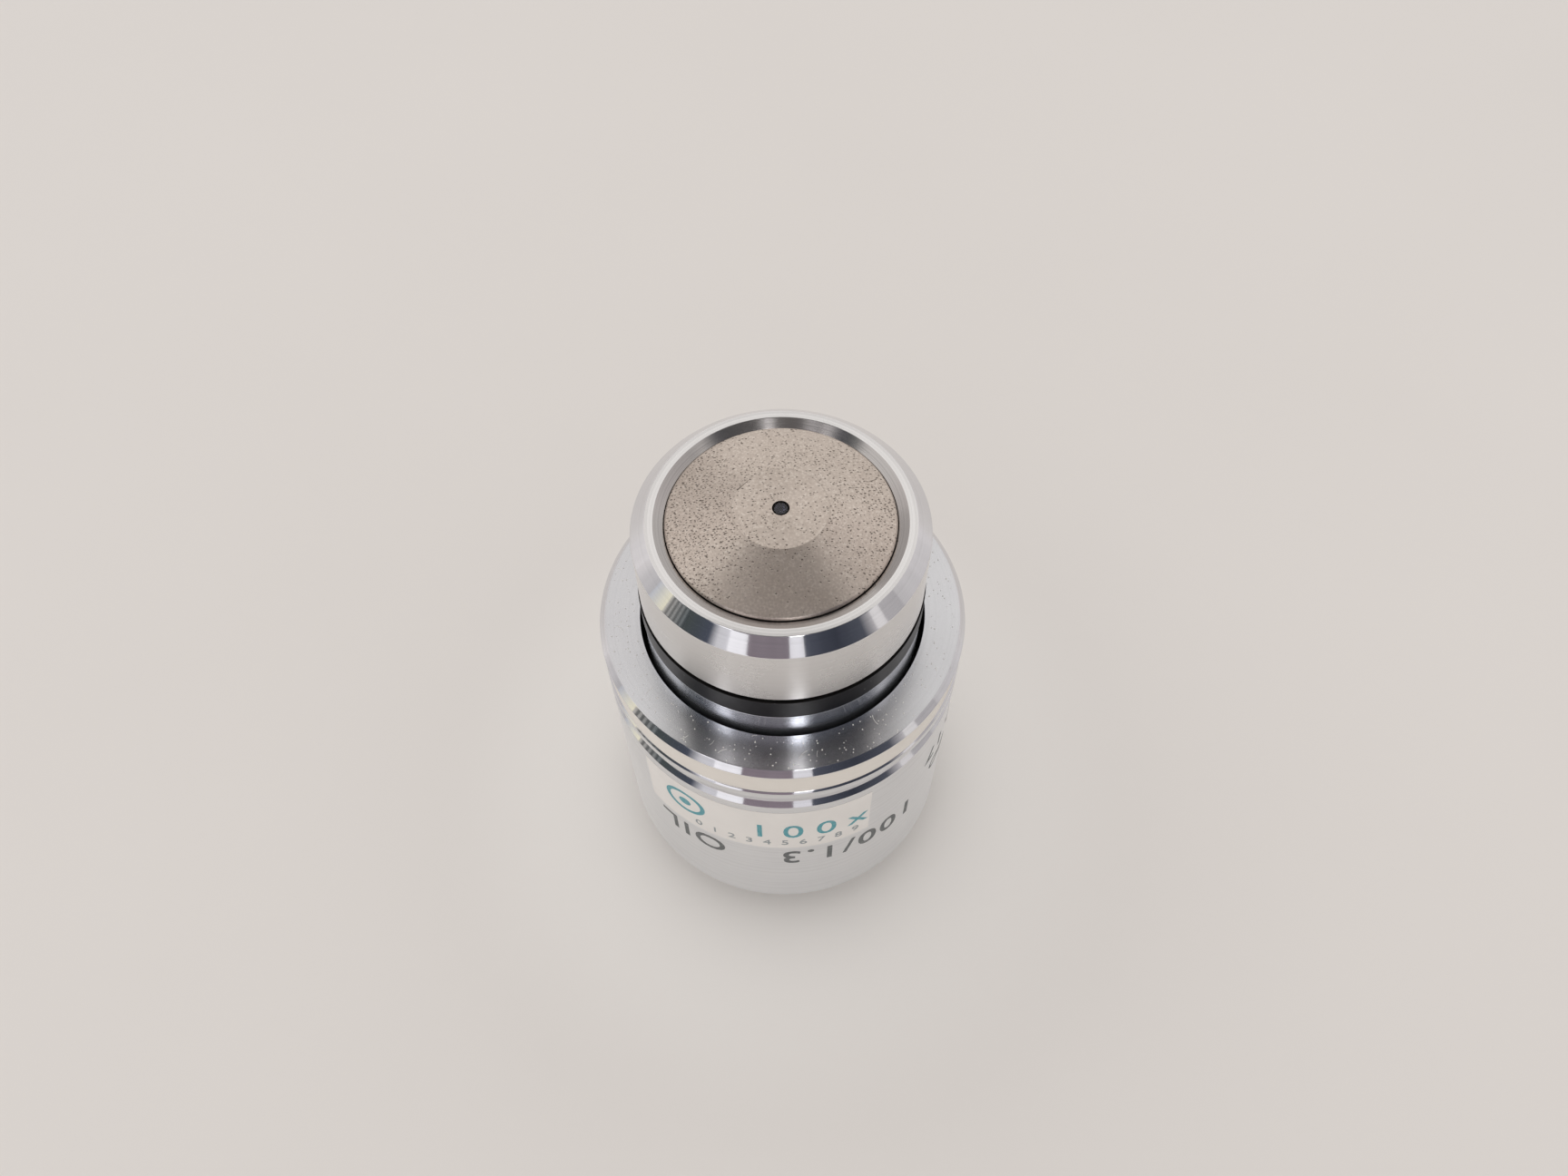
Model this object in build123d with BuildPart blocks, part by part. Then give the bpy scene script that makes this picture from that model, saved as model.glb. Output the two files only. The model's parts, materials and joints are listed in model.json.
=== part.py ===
from build123d import *
import os
from math import sqrt

# Spring-loaded oil-immersion microscope objective, as the turned and ground pieces it is built from.
# Millimetres. +Z is the optical axis, towards the front lens. The origin is the centre of the mounting
# shoulder, the plane that the length of an objective is measured from.

# Clearances
fit_clearance = 0.02          # radial, between pieces that are screwed or pressed together
guide_clearance = 0.03        # radial, between the lens tube and its guide bore
glass_clearance = 0.01        # between a ground glass and its seat
cement_gap = 0.01             # between two glasses that are cemented together
end_clearance = 0.04          # along the axis, where a piece stops just short of another

# Tip
front_lens_radius = 0.65      # clear radius of the front lens
front_lens_sphere = 0.95      # radius of its ball-shaped rear
front_lens_recess = 0.08
tip_flat_radius = 3.84
tip_cone_drop = 1.44
tip_edge_break = 0.12
tip_rise = 1.26               # how far the tip stands above the sleeve
tip_seat_width = 1.0          # ring on which the tip sits on the lens tube

# Nose sleeve and immersion ring
tip_gap = 0.06                # dark gap between the tip and the sleeve
mouth_chamfer_width = 0.86
mouth_chamfer_depth = 0.44
land_width = 0.66
nose_chamfer = 1.22
sleeve_length = 7.94
sleeve_lip = 3.1
sleeve_wall = 1.6
ring_height = 3.1
ring_head_seam = 0.4          # height of the shadow groove between the ring and the sleeve
ring_foot_seam = 0.3          # the same between the ring and the tube
ring_seam_depth = 0.5

# Lens tube
tube_show = 2.57              # length of tube that shows between the barrel and the ring
tube_wall = 2.0
cell_shoulder = 0.8           # width of the inner shoulder that the first cell meets
cell_shoulder_rise = 0.6
stop_thickness = 2.0
stop_engagement = 1.48        # how far the stop flange reaches under the barrel's lip
stop_clearance = 0.5
travel = 2.5                  # how far the nose can be pushed in
rear_clearance = 0.3

# Outer barrel
barrel_length = 29.83
barrel_edge_chamfer = 0.5
barrel_foot_chamfer = 0.3
lip_thickness = 3.5
nose_gap = 0.42               # dark gap between the tube and the barrel
skirt_wall = 0.93
seat_ledge = 0.65             # ring on which the barrel sits on the base
band_margin = 0.06
band_height = 3.19
band_depth = 0.4
band_recess = 0.165           # how far the enamel lies below the barrel's surface
collar_height = 0.765         # land between the band and the grip groove
groove_height = 1.675
groove_depth = 0.465

# Threaded base
thread_diameter = 27.0
thread_length = 4.8
thread_lead = 0.5             # chamfer at the thread's free end
shoulder_width = 1.55         # width of the mounting shoulder
flange_thickness = 2.0
shoulder_proud = 0.1          # how far the shoulder stands below the barrel's foot
rear_ledge = 1.0              # step from the guide bore to the narrower rear bore
rear_bore_chamfer = 0.5
guide_floor = 0.2

# Spring and guide screw
spring_length = 10.3
spring_turns = 4.5
spring_wire_width = 1.0
spring_wire_height = 0.8
screw_radius = 1.5
dog_radius = 1.0
dog_clearance = 0.05
slot_depth = 1.2
screw_inset = 0.25
hex_size = 1.5                # across the flats of the screw's socket
hex_depth = 1.2

# Front meniscus
meniscus_radius = 2.98
meniscus_front_curve = 4.6
meniscus_rear_curve = 4.2
meniscus_thickness = 1.5
meniscus_seat_depth = 2.5     # below the tip
meniscus_seat_width = 0.68
retainer_width = 0.5
retainer_height = 1.1
mount_wall = 3.18             # wall of the tip's hollow rear
mount_rear_gap = 0.6

# Lens cells
cell_lip = 0.8                # thickness of the lip that a glass rests on
cell_lip_width = 0.5
cell_margin = 0.6             # length of cell beyond its glasses
spacer_wall = 3.38
lock_height = 2.2
lock_recess = 0.2
lock_wall = 4.78
spanner_slot_width = 1.2
spanner_slot_depth = 0.8

# Glasses: the wall of each cell round its group, the surfaces from front to rear, and the thicknesses
singlet_wall = 4.58
singlet_thickness = 2.4
singlet_rear_curve = 14.0
triplet_wall = 4.38
triplet_front_curve = 26.0
triplet_cement_curve = 20.0
triplet_rear_curve = 26.0
triplet_crown_thickness = 2.6
triplet_flint_thickness = 0.8
doublet_wall = 4.58
doublet_front_curve = 26.0
doublet_cement_curve = 20.0
doublet_crown_thickness = 2.6
doublet_flint_thickness = 1.0
rear_wall = 5.58
rear_front_curve = 22.0
rear_cement_curve = 14.0
rear_rear_curve = 24.0
rear_flint_thickness = 0.9
rear_crown_thickness = 2.2

# Radii, from the mounting thread inwards
thread_radius = thread_diameter / 2
flange_radius = thread_radius + shoulder_width
skirt_bore_radius = flange_radius + fit_clearance
barrel_radius = skirt_bore_radius + skirt_wall
band_radius = barrel_radius - band_depth
enamel_radius = barrel_radius - band_recess
groove_radius = barrel_radius - groove_depth
barrel_bore_radius = flange_radius - seat_ledge
base_spigot_radius = barrel_bore_radius - fit_clearance
stop_radius = barrel_bore_radius - stop_clearance
lip_bore_radius = stop_radius - stop_engagement
tube_radius = lip_bore_radius - nose_gap
nose_radius = tube_radius
ring_seam_radius = nose_radius - ring_seam_depth
spigot_radius = nose_radius - sleeve_wall
mouth_radius = nose_radius - nose_chamfer - land_width - mouth_chamfer_width
tip_radius = mouth_radius - tip_gap
mount_bore_radius = tip_radius - tip_seat_width
cell_bore_radius = mount_bore_radius + cell_shoulder
cell_radius = cell_bore_radius - fit_clearance
spacer_bore_radius = cell_radius - spacer_wall
lock_bore_radius = cell_radius - lock_wall
singlet_radius = cell_radius - singlet_wall
triplet_radius = cell_radius - triplet_wall
doublet_radius = cell_radius - doublet_wall
rear_radius = cell_radius - rear_wall
guide_radius = cell_bore_radius + tube_wall
guide_bore_radius = guide_radius + guide_clearance
rear_bore_radius = guide_radius - rear_ledge
spring_radius = (guide_radius + barrel_bore_radius) / 2

# Heights, from the mounting shoulder
lip_underside = barrel_length - lip_thickness
stop_top = lip_underside - end_clearance
stop_bottom = stop_top - stop_thickness
base_top = stop_bottom - spring_length
ring_seat = barrel_length + tube_show
sleeve_foot = ring_seat + ring_height
land_height = sleeve_foot + sleeve_length
tip_height = land_height + tip_rise
spigot_top = land_height - sleeve_lip - end_clearance
cell_stop = ring_seat + cell_shoulder_rise
tube_rear = guide_floor + travel + rear_clearance
screw_height = (flange_thickness + base_top) / 2
band_top = barrel_length - barrel_edge_chamfer - band_margin
band_bottom = band_top - band_height
collar_top = band_bottom - band_recess
groove_top = collar_top - collar_height
groove_bottom = groove_top - groove_height


def sag(curve, height):
    """Drop of a spherical surface below its vertex at a height from the axis. A flat one has curve 0,
    and one whose centre lies in front of it has a negative curve."""
    if curve == 0:
        return 0
    drop = abs(curve) - sqrt(curve**2 - height**2)
    return drop if curve > 0 else -drop


def half_section(*points):
    """Closed half-section through (radius, height) points, in the plane of the optical axis."""
    with BuildSketch(Plane.XZ) as section:
        with BuildLine():
            Polyline(*points, close=True)
        make_face()
    return section.sketch


def surface_arc(curve, vertex, edge):
    """Line of a glass surface in the half-section, from its vertex on the axis to its edge."""
    end = (edge, vertex - sag(curve, edge))
    if curve == 0:
        Line((0, vertex), end)
    else:
        ThreePointArc((0, vertex), (edge / 2, vertex - sag(curve, edge / 2)), end)


def ground_glass(front, thickness, front_curve, rear_curve, edge):
    """One lens, from the height of its front vertex."""
    rear = front - thickness
    with BuildPart() as glass:
        with BuildSketch(Plane.XZ):
            with BuildLine():
                surface_arc(front_curve, front, edge)
                Line((edge, front - sag(front_curve, edge)), (edge, rear - sag(rear_curve, edge)))
                surface_arc(rear_curve, rear, edge)
                Line((0, rear), (0, front))
            make_face()
        revolve(axis=Axis.Z)
    return glass


def plain_ring(bottom, top, inner, outer):
    """Flat-ended ring."""
    with BuildPart() as ring:
        revolve(half_section((inner, bottom), (outer, bottom), (outer, top), (inner, top)), axis=Axis.Z)
    return ring


def lens_cell(bottom, height, glass_radius):
    """Turned cell with a bore for its glasses and a lip under them."""
    bore = glass_radius + glass_clearance
    lip = glass_radius - cell_lip_width
    with BuildPart() as cell:
        revolve(
            half_section(
                (lip, bottom),
                (cell_radius, bottom),
                (cell_radius, bottom + height),
                (bore, bottom + height),
                (bore, bottom + cell_lip),
                (lip, bottom + cell_lip),
            ),
            axis=Axis.Z,
        )
    return cell


def glass_group(names, bottom, radius, curves, thicknesses):
    """Cemented glasses that rest on the lip of the cell with this bottom. The last one touches the lip."""
    rest = sag(-curves[-1], radius - cell_lip_width)
    front = bottom + cell_lip + glass_clearance - rest
    front += sum(thicknesses) + cement_gap * (len(thicknesses) - 1)
    for index, name in enumerate(names):
        thickness = thicknesses[index]
        pieces[name] = ground_glass(front, thickness, curves[index], curves[index + 1], radius)
        front -= thickness + cement_gap


pieces = {}

# Outer barrel: one turned sleeve with a lip at the front and a counterbored foot
with BuildPart() as outer_barrel:
    revolve(
        half_section(
            (skirt_bore_radius, shoulder_proud),
            (barrel_radius - barrel_foot_chamfer, shoulder_proud),
            (barrel_radius, shoulder_proud + barrel_foot_chamfer),
            (barrel_radius, groove_bottom - groove_depth),
            (groove_radius, groove_bottom),
            (groove_radius, groove_top),
            (barrel_radius, groove_top),
            (barrel_radius, collar_top),
            (enamel_radius, band_bottom),
            (band_radius, band_bottom),
            (band_radius, band_top),
            (barrel_radius, band_top),
            (barrel_radius, barrel_length - barrel_edge_chamfer),
            (barrel_radius - barrel_edge_chamfer, barrel_length),
            (lip_bore_radius, barrel_length),
            (lip_bore_radius, lip_underside),
            (barrel_bore_radius, lip_underside),
            (barrel_bore_radius, flange_thickness),
            (skirt_bore_radius, flange_thickness),
        ),
        axis=Axis.Z,
    )
pieces["outer_barrel"] = outer_barrel

# Colour ring: enamel that fills the band groove almost flush
pieces["colour_ring"] = plain_ring(band_bottom, band_top, band_radius, enamel_radius)

# Threaded base: thread, shoulder flange, spigot inside the barrel, and the guide bore
screw_plane = Plane(origin=(0, 0, screw_height), x_dir=(1, 0, 0), z_dir=(0, 1, 0))
with BuildPart() as thread_base:
    revolve(
        half_section(
            (rear_bore_radius + rear_bore_chamfer, -thread_length),
            (thread_radius - thread_lead, -thread_length),
            (thread_radius, thread_lead - thread_length),
            (thread_radius, 0),
            (flange_radius, 0),
            (flange_radius, flange_thickness),
            (base_spigot_radius, flange_thickness),
            (base_spigot_radius, base_top),
            (guide_bore_radius, base_top),
            (guide_bore_radius, guide_floor),
            (rear_bore_radius, guide_floor),
            (rear_bore_radius, rear_bore_chamfer - thread_length),
        ),
        axis=Axis.Z,
    )
    with BuildSketch(screw_plane):
        Circle(screw_radius + fit_clearance)
    extrude(amount=barrel_radius, mode=Mode.SUBTRACT)
pieces["thread_base"] = thread_base

# Retraction spring: flat wire between the base and the stop flange
with BuildPart() as retraction_spring:
    coil_height = spring_length - spring_wire_height - 2 * end_clearance
    coil_start = base_top + end_clearance + spring_wire_height / 2
    with BuildLine() as coil:
        Helix(coil_height / spring_turns, coil_height, spring_radius, center=(0, 0, coil_start))
    with BuildSketch(Plane(origin=coil.line @ 0, x_dir=(1, 0, 0), z_dir=coil.line % 0)):
        Rectangle(spring_wire_width, spring_wire_height)
    sweep(is_frenet=True)
pieces["retraction_spring"] = retraction_spring

# Guide screw: its dog point runs in the slot of the lens tube
screw_end = base_spigot_radius - screw_inset
with BuildPart() as guide_screw:
    with BuildSketch(screw_plane.offset(guide_radius - slot_depth + dog_clearance)):
        Circle(dog_radius)
    extrude(amount=screw_end - guide_radius + slot_depth - dog_clearance)
    with BuildSketch(screw_plane.offset(guide_bore_radius)):
        Circle(screw_radius)
    extrude(amount=screw_end - guide_bore_radius)
    with BuildSketch(screw_plane.offset(screw_end)):
        RegularPolygon(hex_size / 2, 6, major_radius=False)
    extrude(amount=-hex_depth, mode=Mode.SUBTRACT)
pieces["guide_screw"] = guide_screw

# Lens tube: guide cylinder, stop flange, polished front and the spigot of the sleeve
with BuildPart() as lens_tube:
    revolve(
        half_section(
            (cell_bore_radius, tube_rear),
            (guide_radius, tube_rear),
            (guide_radius, stop_bottom),
            (stop_radius, stop_bottom),
            (stop_radius, stop_top),
            (tube_radius, stop_top),
            (tube_radius, ring_seat),
            (spigot_radius, ring_seat),
            (spigot_radius, spigot_top),
            (mount_bore_radius, spigot_top),
            (mount_bore_radius, cell_stop),
            (cell_bore_radius, cell_stop),
        ),
        axis=Axis.Z,
    )
    slot_middle = travel / 2
    with BuildSketch(screw_plane.offset(guide_radius - slot_depth)):
        with Locations((0, -slot_middle)):
            SlotCenterToCenter(travel, 2 * (dog_radius + dog_clearance), rotation=90)
    extrude(amount=2 * slot_depth, mode=Mode.SUBTRACT)
pieces["lens_tube"] = lens_tube

# Immersion ring: clamped between the tube's shoulder and the sleeve, with a shadow groove at either end
ring_bore_radius = spigot_radius + fit_clearance
with BuildPart() as immersion_ring:
    revolve(
        half_section(
            (ring_bore_radius, ring_seat),
            (ring_seam_radius, ring_seat),
            (ring_seam_radius, ring_seat + ring_foot_seam),
            (nose_radius, ring_seat + ring_foot_seam),
            (nose_radius, sleeve_foot - ring_head_seam),
            (ring_seam_radius, sleeve_foot - ring_head_seam),
            (ring_seam_radius, sleeve_foot),
            (ring_bore_radius, sleeve_foot),
        ),
        axis=Axis.Z,
    )
pieces["immersion_ring"] = immersion_ring

# Nose sleeve: screwed over the spigot, with a chamfered mouth round the tip
with BuildPart() as nose_sleeve:
    revolve(
        half_section(
            (ring_bore_radius, sleeve_foot),
            (nose_radius, sleeve_foot),
            (nose_radius, land_height - nose_chamfer),
            (nose_radius - nose_chamfer, land_height),
            (mouth_radius + mouth_chamfer_width, land_height),
            (mouth_radius, land_height - mouth_chamfer_depth),
            (mouth_radius, spigot_top + end_clearance),
            (ring_bore_radius, spigot_top + end_clearance),
        ),
        axis=Axis.Z,
    )
pieces["nose_sleeve"] = nose_sleeve

# Front lens: more than half a ball, with its flat face in the tip
lens_face = tip_height - front_lens_recess
ball_centre = lens_face - sqrt(front_lens_sphere**2 - front_lens_radius**2)
with BuildPart() as front_lens:
    with BuildSketch(Plane.XZ):
        with BuildLine():
            Line((0, lens_face), (front_lens_radius, lens_face))
            ThreePointArc(
                (front_lens_radius, lens_face),
                (front_lens_sphere, ball_centre),
                (0, ball_centre - front_lens_sphere),
            )
            Line((0, ball_centre - front_lens_sphere), (0, lens_face))
        make_face()
    revolve(axis=Axis.Z)
pieces["front_lens"] = front_lens

# Meniscus behind it, with the ring that holds it
meniscus_seat = tip_height - meniscus_seat_depth
meniscus_front = meniscus_seat + sag(-meniscus_front_curve, meniscus_radius) - glass_clearance
meniscus_rear = meniscus_front - meniscus_thickness
pieces["meniscus_lens"] = ground_glass(
    meniscus_front, meniscus_thickness, -meniscus_front_curve, -meniscus_rear_curve, meniscus_radius
)
meniscus_bore = meniscus_radius + glass_clearance
retainer_bore = meniscus_radius - retainer_width
retainer_top = meniscus_rear + sag(meniscus_rear_curve, retainer_bore) - glass_clearance
retainer_bottom = retainer_top - retainer_height
pieces["meniscus_retainer"] = plain_ring(retainer_bottom, retainer_top, retainer_bore, meniscus_radius)

# Front mount: the conical tip, bored for both lenses and screwed into the tube
mount_radius = mount_bore_radius - fit_clearance
light_bore_radius = mount_radius - mount_wall
mount_rear = cell_stop + mount_rear_gap
hole_radius = front_lens_radius + glass_clearance
pocket_radius = front_lens_sphere + glass_clearance
pocket_mouth = ball_centre + sqrt(pocket_radius**2 - hole_radius**2)
bend_radius = (hole_radius + pocket_radius) / 2
bend_height = ball_centre + sqrt(pocket_radius**2 - bend_radius**2)
with BuildPart() as front_mount:
    with BuildSketch(Plane.XZ):
        with BuildLine():
            Polyline(
                (pocket_radius, ball_centre),
                (meniscus_radius - meniscus_seat_width, meniscus_seat),
                (meniscus_bore, meniscus_seat),
                (meniscus_bore, retainer_bottom),
                (light_bore_radius, retainer_bottom),
                (light_bore_radius, mount_rear),
                (mount_radius, mount_rear),
                (mount_radius, spigot_top),
                (tip_radius, spigot_top),
                (tip_radius, tip_height - tip_cone_drop - tip_edge_break),
                (tip_radius - tip_edge_break, tip_height - tip_cone_drop),
                (tip_flat_radius, tip_height),
                (hole_radius, tip_height),
                (hole_radius, pocket_mouth),
            )
            ThreePointArc(
                (hole_radius, pocket_mouth),
                (bend_radius, bend_height),
                (pocket_radius, ball_centre),
            )
        make_face()
    revolve(axis=Axis.Z)
pieces["front_mount"] = front_mount

# Lens cells: the first against the tube's shoulder, the last on the lock ring, spacers in between
singlet_stack = [singlet_thickness]
triplet_stack = [triplet_crown_thickness, triplet_flint_thickness, triplet_crown_thickness]
doublet_stack = [doublet_crown_thickness, doublet_flint_thickness]
rear_stack = [rear_flint_thickness, rear_crown_thickness]
cell_heights = []
for stack in (singlet_stack, triplet_stack, doublet_stack, rear_stack):
    cell_heights.append(cell_lip + sum(stack) + cell_margin)
lock_bottom = tube_rear + lock_recess
lock_top = lock_bottom + lock_height
spacer_height = (cell_stop - lock_top - sum(cell_heights)) / (len(cell_heights) - 1)
cell_bottoms = []
level = cell_stop
for number, height in enumerate(cell_heights, start=1):
    level -= height
    cell_bottoms.append(level)
    if number < len(cell_heights):
        level -= spacer_height
        spacer = plain_ring(level, level + spacer_height, spacer_bore_radius, cell_radius)
        pieces[f"spacer_{number}"] = spacer
cell_glass = [singlet_radius, triplet_radius, doublet_radius, rear_radius]
for number, bottom in enumerate(cell_bottoms, start=1):
    pieces[f"lens_cell_{number}"] = lens_cell(bottom, cell_heights[number - 1], cell_glass[number - 1])

# Glasses in the cells
glass_group(["singlet_lens"], cell_bottoms[0], singlet_radius, [0, -singlet_rear_curve], singlet_stack)
glass_group(
    ["triplet_front", "triplet_middle", "triplet_rear"],
    cell_bottoms[1],
    triplet_radius,
    [triplet_front_curve, -triplet_cement_curve, triplet_cement_curve, -triplet_rear_curve],
    triplet_stack,
)
glass_group(
    ["doublet_front", "doublet_rear"],
    cell_bottoms[2],
    doublet_radius,
    [doublet_front_curve, -doublet_cement_curve, 0],
    doublet_stack,
)
glass_group(
    ["rear_doublet_front", "rear_doublet_rear"],
    cell_bottoms[3],
    rear_radius,
    [-rear_front_curve, rear_cement_curve, -rear_rear_curve],
    rear_stack,
)

# Lock ring: screwed in behind the stack, with two slots for a pin spanner
with BuildPart() as cell_lock_ring:
    revolve(
        half_section(
            (lock_bore_radius, lock_bottom),
            (cell_radius, lock_bottom),
            (cell_radius, lock_top),
            (lock_bore_radius, lock_top),
        ),
        axis=Axis.Z,
    )
    with BuildSketch(Plane.XY.offset(lock_bottom)):
        Rectangle(2 * cell_bore_radius, spanner_slot_width)
    extrude(amount=spanner_slot_depth, mode=Mode.SUBTRACT)
pieces["cell_lock_ring"] = cell_lock_ring

os.makedirs("parts", exist_ok=True)
for name, piece in pieces.items():
    piece.part.label = name
    export_step(piece.part, f"parts/{name}.step")
    print(name, round(piece.part.volume, 1))
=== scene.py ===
# %% [markdown]
# # A microscope objective, finish by finish
# The part is an oil-immersion objective that stands on its mounting thread with the front lens up.
# Its solids come from the CAD frame, in metres, with the optical axis on Z. This lesson gives every
# turned piece a smooth surface, a real screw thread, a coiled spring, its markings and its finish,
# and then lights it the way bright metal has to be lit.

# %% Load the frame
import json
from math import cos, pi, radians, sin, tau

import bmesh
import bpy
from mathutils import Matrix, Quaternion, Vector


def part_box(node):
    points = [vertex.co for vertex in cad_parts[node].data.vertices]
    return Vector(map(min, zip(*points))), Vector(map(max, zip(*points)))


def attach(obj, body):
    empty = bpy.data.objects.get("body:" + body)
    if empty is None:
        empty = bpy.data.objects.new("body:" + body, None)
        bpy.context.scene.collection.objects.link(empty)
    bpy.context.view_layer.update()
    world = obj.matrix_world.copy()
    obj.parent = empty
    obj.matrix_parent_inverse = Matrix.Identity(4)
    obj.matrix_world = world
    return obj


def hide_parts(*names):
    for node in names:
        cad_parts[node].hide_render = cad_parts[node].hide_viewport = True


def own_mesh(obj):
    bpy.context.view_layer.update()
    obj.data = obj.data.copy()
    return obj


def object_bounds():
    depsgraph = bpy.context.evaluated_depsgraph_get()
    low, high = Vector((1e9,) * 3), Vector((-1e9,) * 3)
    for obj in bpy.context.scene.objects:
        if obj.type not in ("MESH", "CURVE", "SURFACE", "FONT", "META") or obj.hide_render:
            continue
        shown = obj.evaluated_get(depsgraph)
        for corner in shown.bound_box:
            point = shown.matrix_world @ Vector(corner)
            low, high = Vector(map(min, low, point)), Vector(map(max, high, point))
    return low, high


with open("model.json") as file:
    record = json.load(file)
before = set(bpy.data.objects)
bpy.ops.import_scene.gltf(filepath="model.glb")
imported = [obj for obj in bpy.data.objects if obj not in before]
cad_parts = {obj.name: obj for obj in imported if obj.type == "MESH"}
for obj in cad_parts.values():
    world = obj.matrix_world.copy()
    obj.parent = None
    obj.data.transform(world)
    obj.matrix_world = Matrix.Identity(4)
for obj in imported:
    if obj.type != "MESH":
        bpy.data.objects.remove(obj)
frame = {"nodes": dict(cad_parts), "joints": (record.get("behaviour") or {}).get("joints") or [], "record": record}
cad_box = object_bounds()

MM = 0.001
nodes = frame["nodes"]
print("nodes:", len(nodes), "CAD box in mm:", [[round(x / MM, 2) for x in corner] for corner in cad_box])

# %% [markdown]
# ## Colours, nodes and materials
# A colour picked from a screen is an sRGB value, and a shader works in linear light. One function turns
# the first into the second, so that every colour below can be written as a plain hex value. A second
# function adds a node, gives it its settings, and sets or links its inputs. Shader trees and geometry
# trees both use it. Map Range takes a value, the range that it comes from and the range that it goes to.
# A material starts as a recipe: a function that gets an empty tree and the place on the part in
# millimetres, and gives the inputs of the shader. Object coordinates are metres here, and a factor of
# 1000 turns them into millimetres.


# %% Colours and nodes
def linear(hex_value):
    """An sRGB hex value such as E8E0D6 as a linear colour."""
    channels = [int(hex_value[i:i + 2], 16) / 255 for i in (0, 2, 4)]
    return [c / 12.92 if c <= 0.04045 else ((c + 0.055) / 1.055) ** 2.4 for c in channels] + [1.0]


def add(tree, kind, inputs=(), **settings):
    """Adds one node with its settings. Inputs come in order, or by name or number. Each is a constant, an
    output socket that it is linked to, or a node, which gives the first of its outputs in use."""
    node = tree.nodes.new(kind)
    for key, value in settings.items():
        setattr(node, key, value)
    for key, value in inputs.items() if isinstance(inputs, dict) else enumerate(inputs):
        if isinstance(value, bpy.types.Node):
            value = next(socket for socket in value.outputs if socket.enabled)
        if isinstance(value, bpy.types.NodeSocket):
            tree.links.new(value, node.inputs[key])
        else:
            node.inputs[key].default_value = value
    return node


MATH, VECTOR, SPLIT = "ShaderNodeMath", "ShaderNodeVectorMath", "ShaderNodeSeparateXYZ"
NOISE, CELLS, BUMP = "ShaderNodeTexNoise", "ShaderNodeTexVoronoi", "ShaderNodeBump"
RANGE, SMOOTH = "ShaderNodeMapRange", {"interpolation_type": "SMOOTHSTEP"}
TANGENT, AROUND = "ShaderNodeTangent", {"direction_type": "RADIAL", "axis": "Z"}
print("chrome in linear light:", [round(c, 3) for c in linear("DCDDDF")])


# %% Materials
def finish(name, recipe, *values, kind="ShaderNodeBsdfPrincipled"):
    """A material whose shader gets the inputs that a recipe makes from these values."""
    material = bpy.data.materials.new(name)
    material.use_nodes = True
    tree = material.node_tree
    tree.nodes.clear()
    place = add(tree, "ShaderNodeTexCoord").outputs["Object"]
    place = add(tree, VECTOR, {0: place, "Scale": 1 / MM}, operation="SCALE")
    shader = add(tree, kind, recipe(tree, place, *values))
    add(tree, "ShaderNodeOutputMaterial", {"Surface": shader})
    print(name, "has", len(tree.nodes), "nodes")
    return material


def layered(tree, tone, *layers):
    """A tone with others laid over it, each as (share, tone). A tone is a hex value, a colour or a node."""
    for share, over in layers:
        below, above = [linear(each) if isinstance(each, str) else each for each in (tone, over)]
        tone = add(tree, "ShaderNodeMix", {0: share, 6: below, 7: above}, data_type="RGBA")
    return tone


# %% [markdown]
# ## Turned and plated metal
# Everything here was made on a lathe, so the tool's lines run round the axis. They depend on one number
# only: the distance from the axis on a flat face or a chamfer, and the height on a cylinder. A noise in
# one dimension along that number gives lines that close on themselves. The real lines are a few
# hundredths of a millimetre apart, too fine to show, so they are drawn some tenths apart.
#
# The barrel is brass with a satin chromium plate, the sleeve is stainless steel, and the chamfers are
# cut with a diamond tool that leaves a mirror. All of them are the same thing to the eye: a metal whose
# tiny grooves run round the axis, so that a reflection smears across the grooves and stays sharp along
# them. A radial tangent with a quarter turn of the anisotropy gives that smear. Handling leaves smudges
# that change the gloss a little.


# %% Lines of the lathe tool
def from_axis(tree, place):
    """Distance from the optical axis, in millimetres."""
    flat = add(tree, VECTOR, (place, (1, 1, 0)), operation="MULTIPLY")
    return add(tree, VECTOR, (flat,), operation="LENGTH")


def turning_lines(tree, place, across, spacing):
    """Lines from 0 to 1, about this far apart in millimetres across the radius or the height."""
    number = from_axis(tree, place) if across == "radius" else add(tree, SPLIT, (place,)).outputs["Z"]
    step = add(tree, MATH, (number, 1 / spacing), operation="MULTIPLY")
    return add(tree, NOISE, {"W": step, "Scale": 1.0, "Detail": 2.0}, noise_dimensions="1D")


# %% Turned metal
SMUDGE = 5.0  # size of a smudge, in millimetres
SMUDGE_GLOSS = 0.08  # how much rougher a smudge is
NICK_GAP = 0.9  # distance between small dark nicks
NICK_SIZE = (0.02, 0.05)  # where a nick is darkest and where it ends, as shares of that distance
QUARTER_TURN = 0.25


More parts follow.
